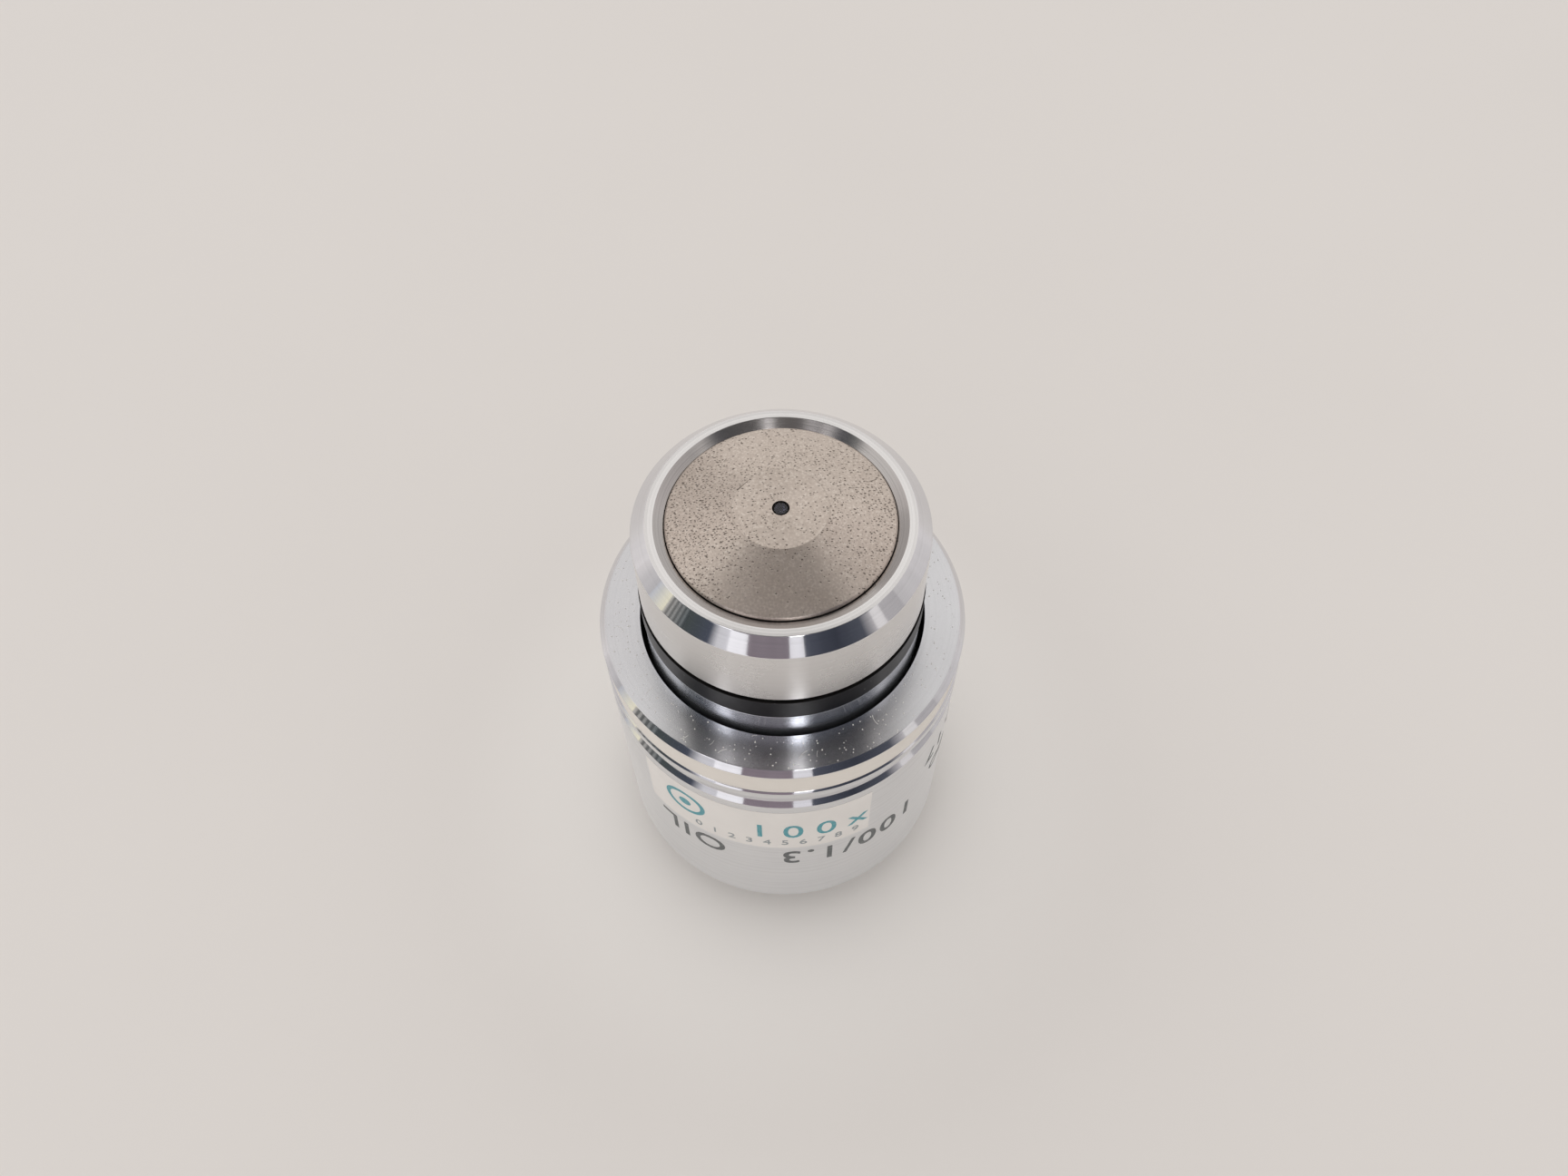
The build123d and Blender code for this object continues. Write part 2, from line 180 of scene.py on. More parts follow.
def turned_metal(tree, place, bright, dull, roughness, smear, across, spacing, depth, stripes=0.1, nicks=0.0):
    """Turned metal. smear is the anisotropy, depth the height of the tool's lines in millimetres, stripes how
    far the lines darken the metal, and nicks the strength of small dark handling marks."""
    lines = turning_lines(tree, place, across, spacing)
    smudge = add(tree, NOISE, {"Vector": place, "Scale": 1 / SMUDGE, "Detail": 4.0})
    marks = add(tree, CELLS, {"Vector": place, "Scale": 1 / NICK_GAP, "Randomness": 1.0})
    nick = add(tree, RANGE, (marks, *NICK_SIZE, nicks, 0.0), **SMOOTH)
    stripe = add(tree, RANGE, (lines, 0.45, 0.65, 0.0, stripes), **SMOOTH)
    streak = 0.8 * stripes
    gloss = add(tree, MATH, (lines, streak, roughness - streak / 2), operation="MULTIPLY_ADD")
    return {
        "Base Color": layered(tree, bright, (smudge, dull), (stripe, "5C5A59"), (nick, "4A4A4C")),
        "Metallic": 1.0,
        "Roughness": add(tree, MATH, (smudge, SMUDGE_GLOSS, gloss), operation="MULTIPLY_ADD"),
        "Anisotropic": smear,
        "Anisotropic Rotation": QUARTER_TURN,
        "Tangent": add(tree, TANGENT, **AROUND),
        "Normal": add(tree, BUMP, {"Height": lines, "Distance": depth * MM, "Strength": 1.0}),
    }


METALS = [  # name, then the values of turned_metal in their order
    ("satin_chrome_on_turned_side", "E9EAEB", "E1E2E4", 0.26, 0.7, "height", 0.5, 0.0004, 0.05),
    ("satin_chrome_on_turned_face", "DADADC", "D4D4D7", 0.16, 0.95, "radius", 0.3, 0.0003, 0.03),
    ("diamond_cut_chrome_chamfer", "E2E2E5", "DCDCE0", 0.05, 0.85, "radius", 0.25, 0.0002, 0.05),
    ("fine_turned_steel_side", "E9E8E7", "E3E2E1", 0.24, 0.8, "height", 0.3, 0.0001, 0.02),
    ("fine_turned_steel_land", "ECEAE9", "E5E3E2", 0.2, 0.7, "radius", 0.25, 0.0006, 0.1, 0.6),
    ("diamond_cut_steel_chamfer", "E4E4E6", "DEDEE2", 0.05, 0.85, "radius", 0.25, 0.0002, 0.05),
    ("turned_steel_mouth", "C0BCBA", "B5B1AF", 0.16, 0.8, "radius", 0.12, 0.0004, 0.15),
    ("polished_chrome_tube", "E6EAF2", "DEE2EA", 0.19, 0.9, "height", 0.4, 0.0003),
    ("chromed_thread", "C9C9CB", "BBBBBE", 0.22, 0.3, "height", 0.2, 0.001),
    ("bare_spring_steel", "A9A9A8", "8F8F8E", 0.25, 0.2, "height", 0.3, 0.001),
]
(chrome_side, chrome_face, chrome_cut, steel_side, steel_face, steel_cut, steel_mouth, tube_chrome,
 thread_chrome, spring_steel) = [finish(name, turned_metal, *values) for name, *values in METALS]

# %% [markdown]
# ## Matte nickel tip
# The tip is nickel-plated brass that oil and cleaning have etched: a warm grey, matte, and dotted with
# short dark pits a tenth of a millimetre wide. A Voronoi pattern on warped coordinates gives the short
# bent marks. Its random cell colour decides which cells hold a pit, so the pits can be dense on one
# side and rare on the worn front, where the turning lines still show. A few hairline scratches are
# drawn from the distance to a line.

# %% Pits
PITS = [  # distance between pits in millimetres, darkness, share, smallest and largest size
    (0.185, 0.76, 1.0, 0.175, 0.37),
    (0.8, 0.8, 0.15, 0.06, 0.11),
]
BEND_SIZE = 0.25  # size of the bends in a pit, in millimetres
BEND_REACH = 0.2  # how far they push it aside
PIT_SLANT = radians(75)
PIT_SHAPE = (0.6, 1.0, 1.0)  # pits are longer one way


def pits(tree, place, share, spacing, smallest, largest):
    """Short bent pits, from 0 to 1. They are about this far apart, and only this share of them is there."""
    bend = add(tree, NOISE, {"Vector": place, "Scale": 1 / BEND_SIZE, "Detail": 1.0}).outputs["Color"]
    warp = add(tree, VECTOR, (bend, [BEND_REACH] * 3, place), operation="MULTIPLY_ADD")
    slant = add(tree, "ShaderNodeMapping",
                {"Vector": warp, "Rotation": (0, 0, PIT_SLANT), "Scale": PIT_SHAPE})
    cells = add(tree, CELLS, {"Vector": slant, "Scale": 1 / spacing}, voronoi_dimensions="2D")
    chance = add(tree, "ShaderNodeSeparateColor", (cells.outputs["Color"],)).outputs
    chosen = add(tree, MATH, (chance["Red"], share), operation="LESS_THAN")
    size = add(tree, RANGE, (chance["Green"], 0.0, 1.0, smallest, largest), **SMOOTH)
    hollow = add(tree, MATH, (size, cells), operation="SUBTRACT")
    pit = add(tree, RANGE, (hollow, 0.0, smallest, 0.0, 1.0), **SMOOTH)
    return add(tree, MATH, (pit, chosen), operation="MULTIPLY")


print("layers of pits:", len(PITS))

# %% Scratches
SCRATCHES = [  # both ends and the width, in millimetres
    ((-3.39, 1.78), (-2.12, 3.16), 0.07),
    ((5.41, 2.23), (6.33, 2.46), 0.05),
    ((7.63, 3.57), (6.59, 2.97), 0.05),
]
SCRATCH_TAIL = 0.3  # width at the far end, as a share of the width at the start
SCRATCH_DARKNESS = 0.7


def scratch(tree, place, start, end, width):
    """A hairline between two points seen from the front, from 0 to 1. It thins out towards its end."""
    run = Vector(end) - Vector(start)
    step = run / run.length_squared
    offset = add(tree, VECTOR, (place, (*start, 0)), operation="SUBTRACT")
    offset = add(tree, VECTOR, (offset, (1, 1, 0)), operation="MULTIPLY")
    share = add(tree, VECTOR, (offset, (*step, 0)), operation="DOT_PRODUCT")
    share = add(tree, "ShaderNodeClamp", (share,))
    nearest = add(tree, VECTOR, {0: (*run, 0), "Scale": share}, operation="SCALE")
    gap = add(tree, VECTOR, (offset, nearest), operation="DISTANCE")
    reach = add(tree, RANGE, (share, 0.0, 1.0, width, SCRATCH_TAIL * width), **SMOOTH)
    inside = add(tree, MATH, (reach, gap), operation="SUBTRACT")
    return add(tree, RANGE, (inside, 0.0, width / 2, 0.0, SCRATCH_DARKNESS), **SMOOTH)


print("scratches:", len(SCRATCHES))

# %% Matte nickel
DISC_RADIUS = 3.84  # the flat disc round the front lens, in millimetres
DISC_SHADE_LINE = 0.05  # half the width of the painted shade line round the disc, where the cone meets the flat
CLOUD, GRAIN = 2.857, 0.2  # sizes of the clouds and of the grain
TIP_LINES = 0.16  # distance between the turning lines
LINE_DEPTH, PIT_DEPTH = 0.002, 0.015
DARK_OIL = "4E463E"  # what is left in pits and scratches


def etching(tree, place, radius, cloud):
    """How much of the nickel is pitted: less on some sides than on others."""
    x, y, _ = add(tree, SPLIT, (place,)).outputs
    aside = add(tree, MATH, (x,), operation="ABSOLUTE")
    forward = add(tree, MATH, (aside, 0.5, y), operation="MULTIPLY_ADD")
    pitted = add(tree, MATH, (cloud, 2.0), operation="MULTIPLY")
    for span in (  # what it depends on, from where to where, and the share of pits at both ends
        (x, -8.0, 4.0, 1.0, 0.6),  # fewer on the right
        (y, 1.0, 7.0, 1.0, 0.5),  # at the back
        (radius, DISC_RADIUS - 0.3, DISC_RADIUS + 0.3, 0.55, 1.0),  # on the disc
        (forward, -6.5, -1.5, 0.1, 1.0),  # and on the worn front
    ):
        share = add(tree, RANGE, span, **SMOOTH)
        pitted = add(tree, MATH, (pitted, share), operation="MULTIPLY")
    return pitted


def matte_nickel(tree, place):
    """Etched nickel: clouds, a dark and a bright grain, a painted shade line round the disc, scratches and pits.
    """
    radius = from_axis(tree, place)
    lines = turning_lines(tree, place, "radius", TIP_LINES)
    cloud = add(tree, NOISE, {"Vector": place, "Scale": 1 / CLOUD, "Detail": 5.0})
    grain = add(tree, NOISE, {"Vector": place, "Scale": 1 / GRAIN, "Detail": 3.0})
    pitted = etching(tree, place, radius, cloud)
    # painted shade: a dark line where the cone meets the flat disc, for the shade of a tiny step there
    rim = add(tree, MATH, (radius, DISC_RADIUS, DISC_SHADE_LINE), operation="COMPARE")
    layers = [
        (cloud, "C8BBB0"),
        (add(tree, RANGE, (grain, 0.4, 0.7, 0.0, 0.2), **SMOOTH), "8C8077"),
        (add(tree, RANGE, (grain, 0.48, 0.3, 0.0, 0.35), **SMOOTH), "F2EAE0"),
        (add(tree, MATH, (rim, 0.17), operation="MULTIPLY"), "6B6158"),
    ]
    layers += [(scratch(tree, place, *each), DARK_OIL) for each in SCRATCHES]
    relief = add(tree, BUMP, {"Height": lines, "Distance": LINE_DEPTH * MM, "Strength": 1.0})
    for spacing, darkness, portion, *sizes in PITS:
        share = add(tree, MATH, (pitted, portion), operation="MULTIPLY")
        pit = pits(tree, place, share, spacing, *sizes)
        layers.append((add(tree, MATH, (pit, darkness), operation="MULTIPLY"), DARK_OIL))
        hollow = {"Height": pit, "Distance": PIT_DEPTH * MM, "Strength": 1.0, "Normal": relief}
        relief = add(tree, BUMP, hollow, invert=True)
    return {
        "Base Color": layered(tree, "D3C7BD", *layers),
        "Metallic": 1.0,
        "Roughness": add(tree, MATH, (lines, 0.1, 0.31), operation="MULTIPLY_ADD"),
        "Anisotropic": 0.4,
        "Anisotropic Rotation": QUARTER_TURN,
        "Tangent": add(tree, TANGENT, **AROUND),
        "Normal": relief,
    }


nickel = finish("etched_matte_nickel", matte_nickel)

# %% [markdown]
# ## Enamel, blackening and glass
# The two coding rings are baked enamel: a dielectric with an IOR of 1.5 over a fine orange-peel skin.
# The inner bores are blackened so that stray light dies in them. The lenses are optical glass with a
# thin coating, and they look dark because what lies behind them is black.

# %% Enamel
PEEL, SHADE = 1 / 3, 3.333  # sizes of the orange peel and of the uneven shade, in millimetres
PEEL_DEPTH = 0.003
FLECK_GAP = 1.25  # distance between dust flecks
FLECK_SIZE = (0.03, 0.07)  # where a fleck is palest and where it ends, as shares of that distance


def enamel(tree, place, body, fleck, roughness, flecks, sheen):
    """Baked enamel with dust flecks of the given strength. sheen is the level of its gloss."""
    skin = add(tree, NOISE, {"Vector": place, "Scale": 1 / PEEL, "Detail": 2.0})
    shade = add(tree, NOISE, {"Vector": place, "Scale": 1 / SHADE, "Detail": 3.0})
    dust = add(tree, CELLS, {"Vector": place, "Scale": 1 / FLECK_GAP})
    spot = add(tree, RANGE, (dust, *FLECK_SIZE, flecks, 0.0), **SMOOTH)
    deep = [c * 0.9 for c in linear(body)[:3]] + [1.0]
    return {
        "Base Color": layered(tree, body, (shade, deep), (spot, fleck)),
        "Roughness": add(tree, RANGE, (shade, 0.3, 0.7, roughness, roughness + 0.1), **SMOOTH),
        "IOR": 1.5,
        "Specular IOR Level": sheen,
        "Normal": add(tree, BUMP, {"Height": skin, "Distance": PEEL_DEPTH * MM, "Strength": 1.0}),
    }


cream_enamel = finish("cream_white_enamel", enamel, "E9E3DB", "B9B2A8", 0.32, 0.2, 0.5)
black_enamel = finish("satin_black_enamel", enamel, "0E0F13", "A8A7A4", 0.3, 0.5, 0.32)

# %% Blackened metal
THIN_PATCH = 1.4286  # size of the patches where the black layer is thin, in millimetres


def blackened(tree, place, tone, metallic, sheen):
    """Chemically blackened metal, matte, with a little brown where the layer is thin."""
    cloud = add(tree, NOISE, {"Vector": place, "Scale": 1 / THIN_PATCH, "Detail": 4.0})
    return {
        "Base Color": layered(tree, tone, (cloud, "1C1917")),
        "Metallic": metallic,
        "Roughness": add(tree, RANGE, (cloud, 0.3, 0.7, 0.45, 0.65), **SMOOTH),
        "Specular IOR Level": sheen,
    }


black_bore = finish("blackened_bore", blackened, "0A0A0B", 0.0, 0.12)
black_brass = finish("blackened_brass", blackened, "15130F", 0.6, 0.5)

# %% Coated optical glass
HAZE = 0.8333  # size of the patches of faint haze, in millimetres


def coated_glass(tree, place, tint):
    """Optical glass with a thin coating that tints its reflection."""
    haze = add(tree, NOISE, {"Vector": place, "Scale": 1 / HAZE, "Detail": 3.0})
    return {
        "Base Color": layered(tree, tint, (haze, "E6E8EC")),
        "Roughness": add(tree, RANGE, (haze, 0.35, 0.7, 0.02, 0.05), **SMOOTH),
        "IOR": 1.52,
        "Transmission Weight": 1.0,
        "Coat Weight": 0.4,
        "Coat Roughness": 0.04,
        "Coat Tint": linear("CCC6DC"),
    }


glass = finish("coated_optical_glass", coated_glass, "DDE2EA")

# %% [markdown]
# ## Reading a half-section from the CAD
# A turned piece is known by its half-section. Its CAD solid was spun from one, and the seam of that spin
# lies in the plane where Y is 0 and X is positive. The edges of the CAD mesh on that seam give the
# corners back in order, so that the smooth piece can't drift from the solid that it stands for.

# %% Half-sections
SEAM = 1e-7  # how close to the seam plane counts as on it, in metres
GRID = 1e-6  # corners are told apart on this grid


def half_section(node):
    """Corners of a turned CAD node as (radius, height) in millimetres, anticlockwise."""
    mesh = nodes[node].data
    beside = {}
    for edge in mesh.edges:
        ends = [mesh.vertices[i].co for i in edge.vertices]
        if all(abs(end.y) < SEAM and end.x > 0 for end in ends):
            first, second = [(round(end.x / GRID), round(end.z / GRID)) for end in ends]
            if first != second:
                beside.setdefault(first, set()).add(second)
                beside.setdefault(second, set()).add(first)
    path = [max(beside)]
    while len(path) < len(beside):
        following = sorted(beside[path[-1]] - set(path))
        path.append(following[-1])
    scale = GRID / MM
    corners = [Vector((x * scale, z * scale)) for x, z in path]
    turn = sum(a.cross(b) for a, b in zip(corners, corners[1:] + corners[:1]))
    return corners if turn > 0 else corners[::-1]


for node in ("outer_barrel", "nose_sleeve", "front_mount"):
    print(node, "has", len(half_section(node)), "corners")

# %% [markdown]
# ## From a half-section to a smooth piece
# Real edges are never sharp: the tool and the plating leave a radius of a few hundredths, and that thin
# line of light is what makes metal look solid. Each corner becomes a short curve with a narrow strip on
# both sides, which keeps the shading of the flats flat. The outline is then spun in 256 steps. A rule
# for each piece picks a finish from the place of a face and from the way it faces.

# %% Rounding the corners
EDGE = 0.05  # radius of an ordinary edge, in millimetres
CURVE = (0.0, 0.25, 0.5, 0.75, 1.0)  # places along the rounded corner
STRIP = 1.5  # where the strip beside it ends, in radii from the corner
LONGEST_CUT = 0.3  # the most of a side that one corner takes
NEARLY_STRAIGHT = 0.985


def soften(corners, radius):
    """The outline with its corners rounded, as (radius, height) points."""
    outline = []
    for i, corner in enumerate(corners):
        back = corners[i - 1] - corner
        ahead = corners[(i + 1) % len(corners)] - corner
        if back.normalized().dot(ahead.normalized()) < -NEARLY_STRAIGHT:
            outline.append(corner)
            continue
        cut = min(radius, LONGEST_CUT * back.length, LONGEST_CUT * ahead.length)
        start = corner + back.normalized() * cut
        end = corner + ahead.normalized() * cut
        outline.append(corner + back.normalized() * cut * STRIP)
        for t in CURVE:
            outline.append(start * (1 - t) ** 2 + corner * 2 * t * (1 - t) + end * t ** 2)
        outline.append(corner + ahead.normalized() * cut * STRIP)
    return outline


print("points on the rounded barrel:", len(soften(half_section("outer_barrel"), EDGE)))

# %% Meshes
MERGE = 1e-7  # points closer than this are one, in metres


def build(name, points, faces, *materials):
    """A mesh from points and faces."""
    mesh = bpy.data.meshes.new(name)
    mesh.from_pydata(points, [], faces)
    for material in materials:
        mesh.materials.append(material)
    return mesh


def quads(rows, columns, round_rows, round_columns):
    """Faces between neighbouring rows and columns of points, which close to a ring or not."""
    faces = []
    for row in range(rows if round_rows else rows - 1):
        here, above = row * columns, (row + 1) % rows * columns
        for i in range(columns if round_columns else columns - 1):
            j = (i + 1) % columns
            faces.append((here + i, here + j, above + j, above + i))
    return faces


def close_up(mesh):
    """Merges doubles and turns every face outwards."""
    shape = bmesh.new()
    shape.from_mesh(mesh)
    bmesh.ops.remove_doubles(shape, verts=shape.verts, dist=MERGE)
    bmesh.ops.recalc_face_normals(shape, faces=shape.faces)
    shape.to_mesh(mesh)
    shape.free()


def link(name, mesh):
    """A new object at the origin with this mesh."""
    piece = bpy.data.objects.new(name, mesh)
    bpy.context.scene.collection.objects.link(piece)
    return piece


print("faces of a ring with four sides in eight steps:", len(quads(8, 4, True, True)))

# %% Spinning
STEPS = 256


def spin(name, outline, finishes, pick, shape=None):
    """Spins an outline round the axis. pick gives the number of the finish for a face from its radius,
    its height, and how far it faces out and up. shape changes a radius by its height and angle."""
    points, picked = [], []
    for step in range(STEPS):
        angle = tau * step / STEPS
        for radius, height in outline:
            reach = shape(radius, height, angle) if shape else radius
            points.append((reach * cos(angle) * MM, reach * sin(angle) * MM, height * MM))
    for here, following in zip(outline, outline[1:] + outline[:1]):
        run, middle = following - here, (following + here) / 2
        facing = Vector((run.y, -run.x)).normalized() if run.length > 0 else Vector((1, 0))
        picked.append(pick(middle.x, middle.y, facing.x, facing.y))
    mesh = build(name, points, quads(STEPS, len(outline), True, True), *finishes)
    mesh.polygons.foreach_set("material_index", picked * STEPS)
    close_up(mesh)
    mesh.shade_smooth()
    return link(name, mesh)


def settle(piece, body, slot, *replaced):
    """Parents a piece to the body that carries it and hides the solids that it stands for. The slot, its finish in
    the record, is not used.
    """
    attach(piece, body)
    if replaced:
        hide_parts(*replaced)
    print(f"{piece.name}: {len(piece.data.polygons)} faces, rides on {body}")


# %% [markdown]
# ## The outer barrel and its cream band
# The barrel is the satin-chromed sleeve that the hand turns. Its front face is turned flat, its edge
# chamfer and the chamfer of the grip groove are mirror-cut, and its inside is black. The band is enamel
# in a groove of its own, so it is a separate ring with slightly rounded edges.

# %% Outer barrel
SQUARE = 0.95  # a face that looks this far out or up is a cylinder or a flat, and less is a chamfer
INSIDE, SIDE, FACE, CUT, MOUTH = range(5)  # places of the finishes in a piece's list


def barrel_finish(radius, height, out, up):
    if up < -0.5 or out < -0.5:
        return INSIDE
    if up > SQUARE:
        return FACE
    return SIDE if out > SQUARE else CUT


barrel_section = half_section("outer_barrel")
barrel_radius = max(corner.x for corner in barrel_section)
lip_radius = min(corner.x for corner in barrel_section)
outer_barrel = spin("barrel_sleeve", soften(barrel_section, EDGE),
                    [black_bore, chrome_side, chrome_face, chrome_cut], barrel_finish)
settle(outer_barrel, "barrel", "satin_chrome", "outer_barrel")

# %% Cream band
BAND_EDGE = 0.12  # the enamel is drawn back a little along its groove
band = spin("cream_band", soften(half_section("colour_ring"), BAND_EDGE), [cream_enamel], lambda *place: 0)
settle(band, "barrel", "white_enamel", "colour_ring")

# %% [markdown]
# ## The threaded base
# The base screws into the microscope with a right-hand M27 thread of 0.75 mm pitch. The CAD solid is a
# plain cylinder there. Here the outline gets many more points along the thread, and a rule cuts the
# groove: how deep a point lies depends on where it stands between two turns of the helix. A relief at
# the shoulder and the chamfer at the free end cut the thread off, as on the real one.

# %% Thread
PITCH = 0.75
GROOVE_DEPTH = 0.41
CREST, ROOT = 0.125, 0.75  # where the flank starts and ends, in half pitches from the crest
ROWS_PER_PITCH = 12
RELIEF_LENGTH = 0.5
THREAD_WALL = 0.6  # points less deep than this under the crest belong to the thread
LEVEL = 0.01  # heights closer than this are the same
THREAD_ENDS = 0.001  # the thread stays this far from the shoulder and the rear rim

base_section = half_section("thread_base")
thread_end = min(corner.y for corner in base_section)
thread_radius = max(corner.x for corner in base_section if corner.y < -LEVEL)
print("thread radius in mm:", round(thread_radius, 3), "turns:", round(-thread_end / PITCH, 1))


def thread_cut(radius, height, angle):
    """Radius of the thread at this height and angle. Points elsewhere keep theirs."""
    if radius < thread_radius - THREAD_WALL or not thread_end + THREAD_ENDS <= height <= -THREAD_ENDS:
        return radius
    between = abs((height / PITCH - angle / tau) % 1 - 0.5) * 2
    flank = min(max((between - CREST) / (ROOT - CREST), 0), 1)
    relief = thread_radius - GROOVE_DEPTH + max(-height - RELIEF_LENGTH, 0)
    return min(radius, thread_radius - GROOVE_DEPTH * flank, relief)


def refine(outline):
    """Adds the rows of points that the thread needs."""
    rows = []
    for here, following in zip(outline, outline[1:] + outline[:1]):
        rows.append(here)
        outside = min(here.x, following.x) > thread_radius - THREAD_WALL and max(here.y, following.y) < LEVEL
        count = int(abs(following.y - here.y) * ROWS_PER_PITCH / PITCH) if outside else 0
        for row in range(1, count):
            rows.append(here.lerp(following, row / count))
    return rows


def base_finish(radius, height, out, up):
    if out < -0.3 or height > 0.5:
        return INSIDE
    return SIDE if height < -2 * LEVEL and up > -0.9 else FACE


thread_base = spin("threaded_base", refine(soften(base_section, EDGE)),
                   [black_bore, thread_chrome, chrome_face], base_finish, thread_cut)

# %% [markdown]
# ## The lens tube, and cutting what isn't round
# The polished tube slides in the base and carries the nose. A dog-point screw runs in a slot of the
# tube so that it can't turn. The screw's hole and the slot aren't round about the axis, so they are cut
# with a Boolean from a rounded bar that lies along Y, where the guide screw is.

# %% Cutting with a bar
ARC_STEPS = 24


def bake(piece):
    """Makes what the modifiers of a piece give into its own mesh."""
    graph = bpy.context.evaluated_depsgraph_get()
    piece.data = bpy.data.meshes.new_from_object(piece.evaluated_get(graph))
    piece.modifiers.clear()


def bar(radius, low, high, near, far):
    """A bar along Y with rounded ends, from a low to a high centre."""
    rim = []
    for step in range(ARC_STEPS):
        angle = tau * (step + 0.5) / ARC_STEPS
        centre = high if sin(angle) > 0 else low
        rim.append((radius * cos(angle), centre + radius * sin(angle)))
    points = [(x * MM, y * MM, z * MM) for y in (near, far) for x, z in rim]
    caps = [tuple(range(ARC_STEPS)), tuple(range(ARC_STEPS, 2 * ARC_STEPS))]
    mesh = build("cutter", points, caps + quads(2, ARC_STEPS, False, True))
    close_up(mesh)
    return link("cutter", mesh)


def carve(piece, cutter):
    """Cuts the cutter out of a piece and removes it."""
    modifier = piece.modifiers.new("carve", "BOOLEAN")
    modifier.operation = "DIFFERENCE"
    modifier.solver = "EXACT"
    modifier.object = cutter
    bake(piece)
    bpy.data.objects.remove(cutter)
    print(f"{piece.name}: {len(piece.data.polygons)} faces after the cut")


# %% Screw hole in the base
HOLE_ROOM = 0.02
HOLE_START = 8.0  # inside the bore of the base, in millimetres from the axis
screw_low, screw_high = [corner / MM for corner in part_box("guide_screw")]
screw_height = (screw_low.z + screw_high.z) / 2
screw_radius = (screw_high.x - screw_low.x) / 2
carve(thread_base, bar(screw_radius + HOLE_ROOM, screw_height, screw_height, HOLE_START, barrel_radius))
settle(thread_base, "barrel", "satin_chrome", "thread_base")

# %% Lens tube and its slot
DOG_RADIUS = 1.0
SLOT_ROOM = 0.05
SLOT_DEPTH = 1.2
TUBE_BORE = 10.0  # the bores of the tube are smaller than this, in millimetres
POLISHED_FROM = 10.5  # faces further out than this are polished
travel = frame["joints"][0]["range_m"][1] / MM
tube_section = half_section("lens_tube")
guide_radius = min(c.x for c in tube_section if c.y < screw_height and c.x > TUBE_BORE)


def tube_finish(radius, height, out, up):
    return SIDE if out > 0.3 and radius > POLISHED_FROM else INSIDE


lens_tube = spin("polished_lens_tube", soften(tube_section, EDGE), [black_bore, tube_chrome], tube_finish)
carve(lens_tube, bar(DOG_RADIUS + SLOT_ROOM, screw_height, screw_height + travel,
                     guide_radius - SLOT_DEPTH, barrel_radius))
settle(lens_tube, "nose", "polished_chrome", "lens_tube")

# %% [markdown]
# ## The nose: black ring, sleeve and tip
# The black ring under the sleeve says that the objective is used with oil. Narrow grooves at both of its
# ends stay dead black. The sleeve has a bright land between two chamfers: a mirror-cut one outside and a
# plainly turned one round the tip. The tip is a shallow cone with a small flat disc in the middle, where
# the front lens sits in a line of black cement.

# %% Black ring
ENAMEL_COAT = 0.1  # the enamel stands proud of the sleeve by this much, in millimetres
ring_section = half_section("immersion_ring")
ring_radius = max(corner.x for corner in ring_section)


def ring_finish(radius, height, out, up):
    return SIDE if radius > ring_radius - EDGE and out > 0.7 else INSIDE


def ring_coat(radius, height, angle):
    """The radius of the ring, plus the enamel on its outside."""
    return radius + ENAMEL_COAT if radius > ring_radius - 2 * EDGE else radius


ring = spin("oil_ring", soften(ring_section, EDGE), [black_bore, black_enamel], ring_finish, ring_coat)
settle(ring, "nose", "black_enamel", "immersion_ring")

# %% Nose sleeve
LAND_DEPTH = 0.1  # flats this close to the top belong to the land, in millimetres
MOUTH_DEPTH = 2.0  # how far down the bore round the tip is bare metal
sleeve_section = half_section("nose_sleeve")
land_height = max(corner.y for corner in sleeve_section)


def sleeve_finish(radius, height, out, up):
    if up > SQUARE and height > land_height - LAND_DEPTH:
        return FACE
    if out > 0.3:
        return SIDE if out > SQUARE else CUT
    return MOUTH if height > land_height - MOUTH_DEPTH else INSIDE


sleeve = spin("nose_sleeve_turned", soften(sleeve_section, EDGE),
              [black_bore, steel_side, steel_face, steel_cut, steel_mouth], sleeve_finish)
settle(sleeve, "nose", "turned_steel", "nose_sleeve")

# %% Tip
NICKEL_DEPTH = 2.2  # the nickel shows down to this far below the top, in millimetres
LENS_HOLE = 0.8  # and from this radius on
tip_section = half_section("front_mount")
tip_height = max(corner.y for corner in tip_section)


def tip_finish(radius, height, out, up):
    shows = height > tip_height - NICKEL_DEPTH and radius > LENS_HOLE
    return SIDE if shows and (up > 0.1 or out > 0.5) else INSIDE


tip = spin("conical_tip", soften(tip_section, EDGE), [black_bore, nickel], tip_finish)
settle(tip, "nose", "matte_nickel", "front_mount")

# %% Cement line round the front lens
CEMENT_WIDTH, CEMENT_HEIGHT = 0.12, 0.02
CEMENT_ROOM = 0.005  # between the cement and the wall of the hole
outer = min(corner.x for corner in tip_section) - CEMENT_ROOM
inner = outer - CEMENT_WIDTH
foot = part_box("front_lens")[1].z / MM
top = foot + CEMENT_HEIGHT
cement_section = [Vector(corner) for corner in ((inner, foot), (outer, foot), (outer, top), (inner, top))]
cement = spin("lens_cement", cement_section, [black_bore], lambda *place: 0)
settle(cement, "nose", "black_enamel")

# %% [markdown]
# ## The retraction spring
# A flat-wire spring pushes the nose forward and lets it give way if it meets the slide. A coil follows
# a rule, so Geometry Nodes make it: a spiral of the right radius and height, with a small rectangle
# swept along it. It is shorter when the nose is pushed in; here it is built once, at its length in the
# CAD. The helpers here start a tree with named inputs, end it in real faces with a material, and run it.

# %% Trees, and turning them into plain meshes
KINDS = {  # inputs that aren't plain numbers
    "Geometry": "NodeSocketGeometry",
    "Words": "NodeSocketString",
    "Seed": "NodeSocketInt",
    "Finish": "NodeSocketMaterial",
}


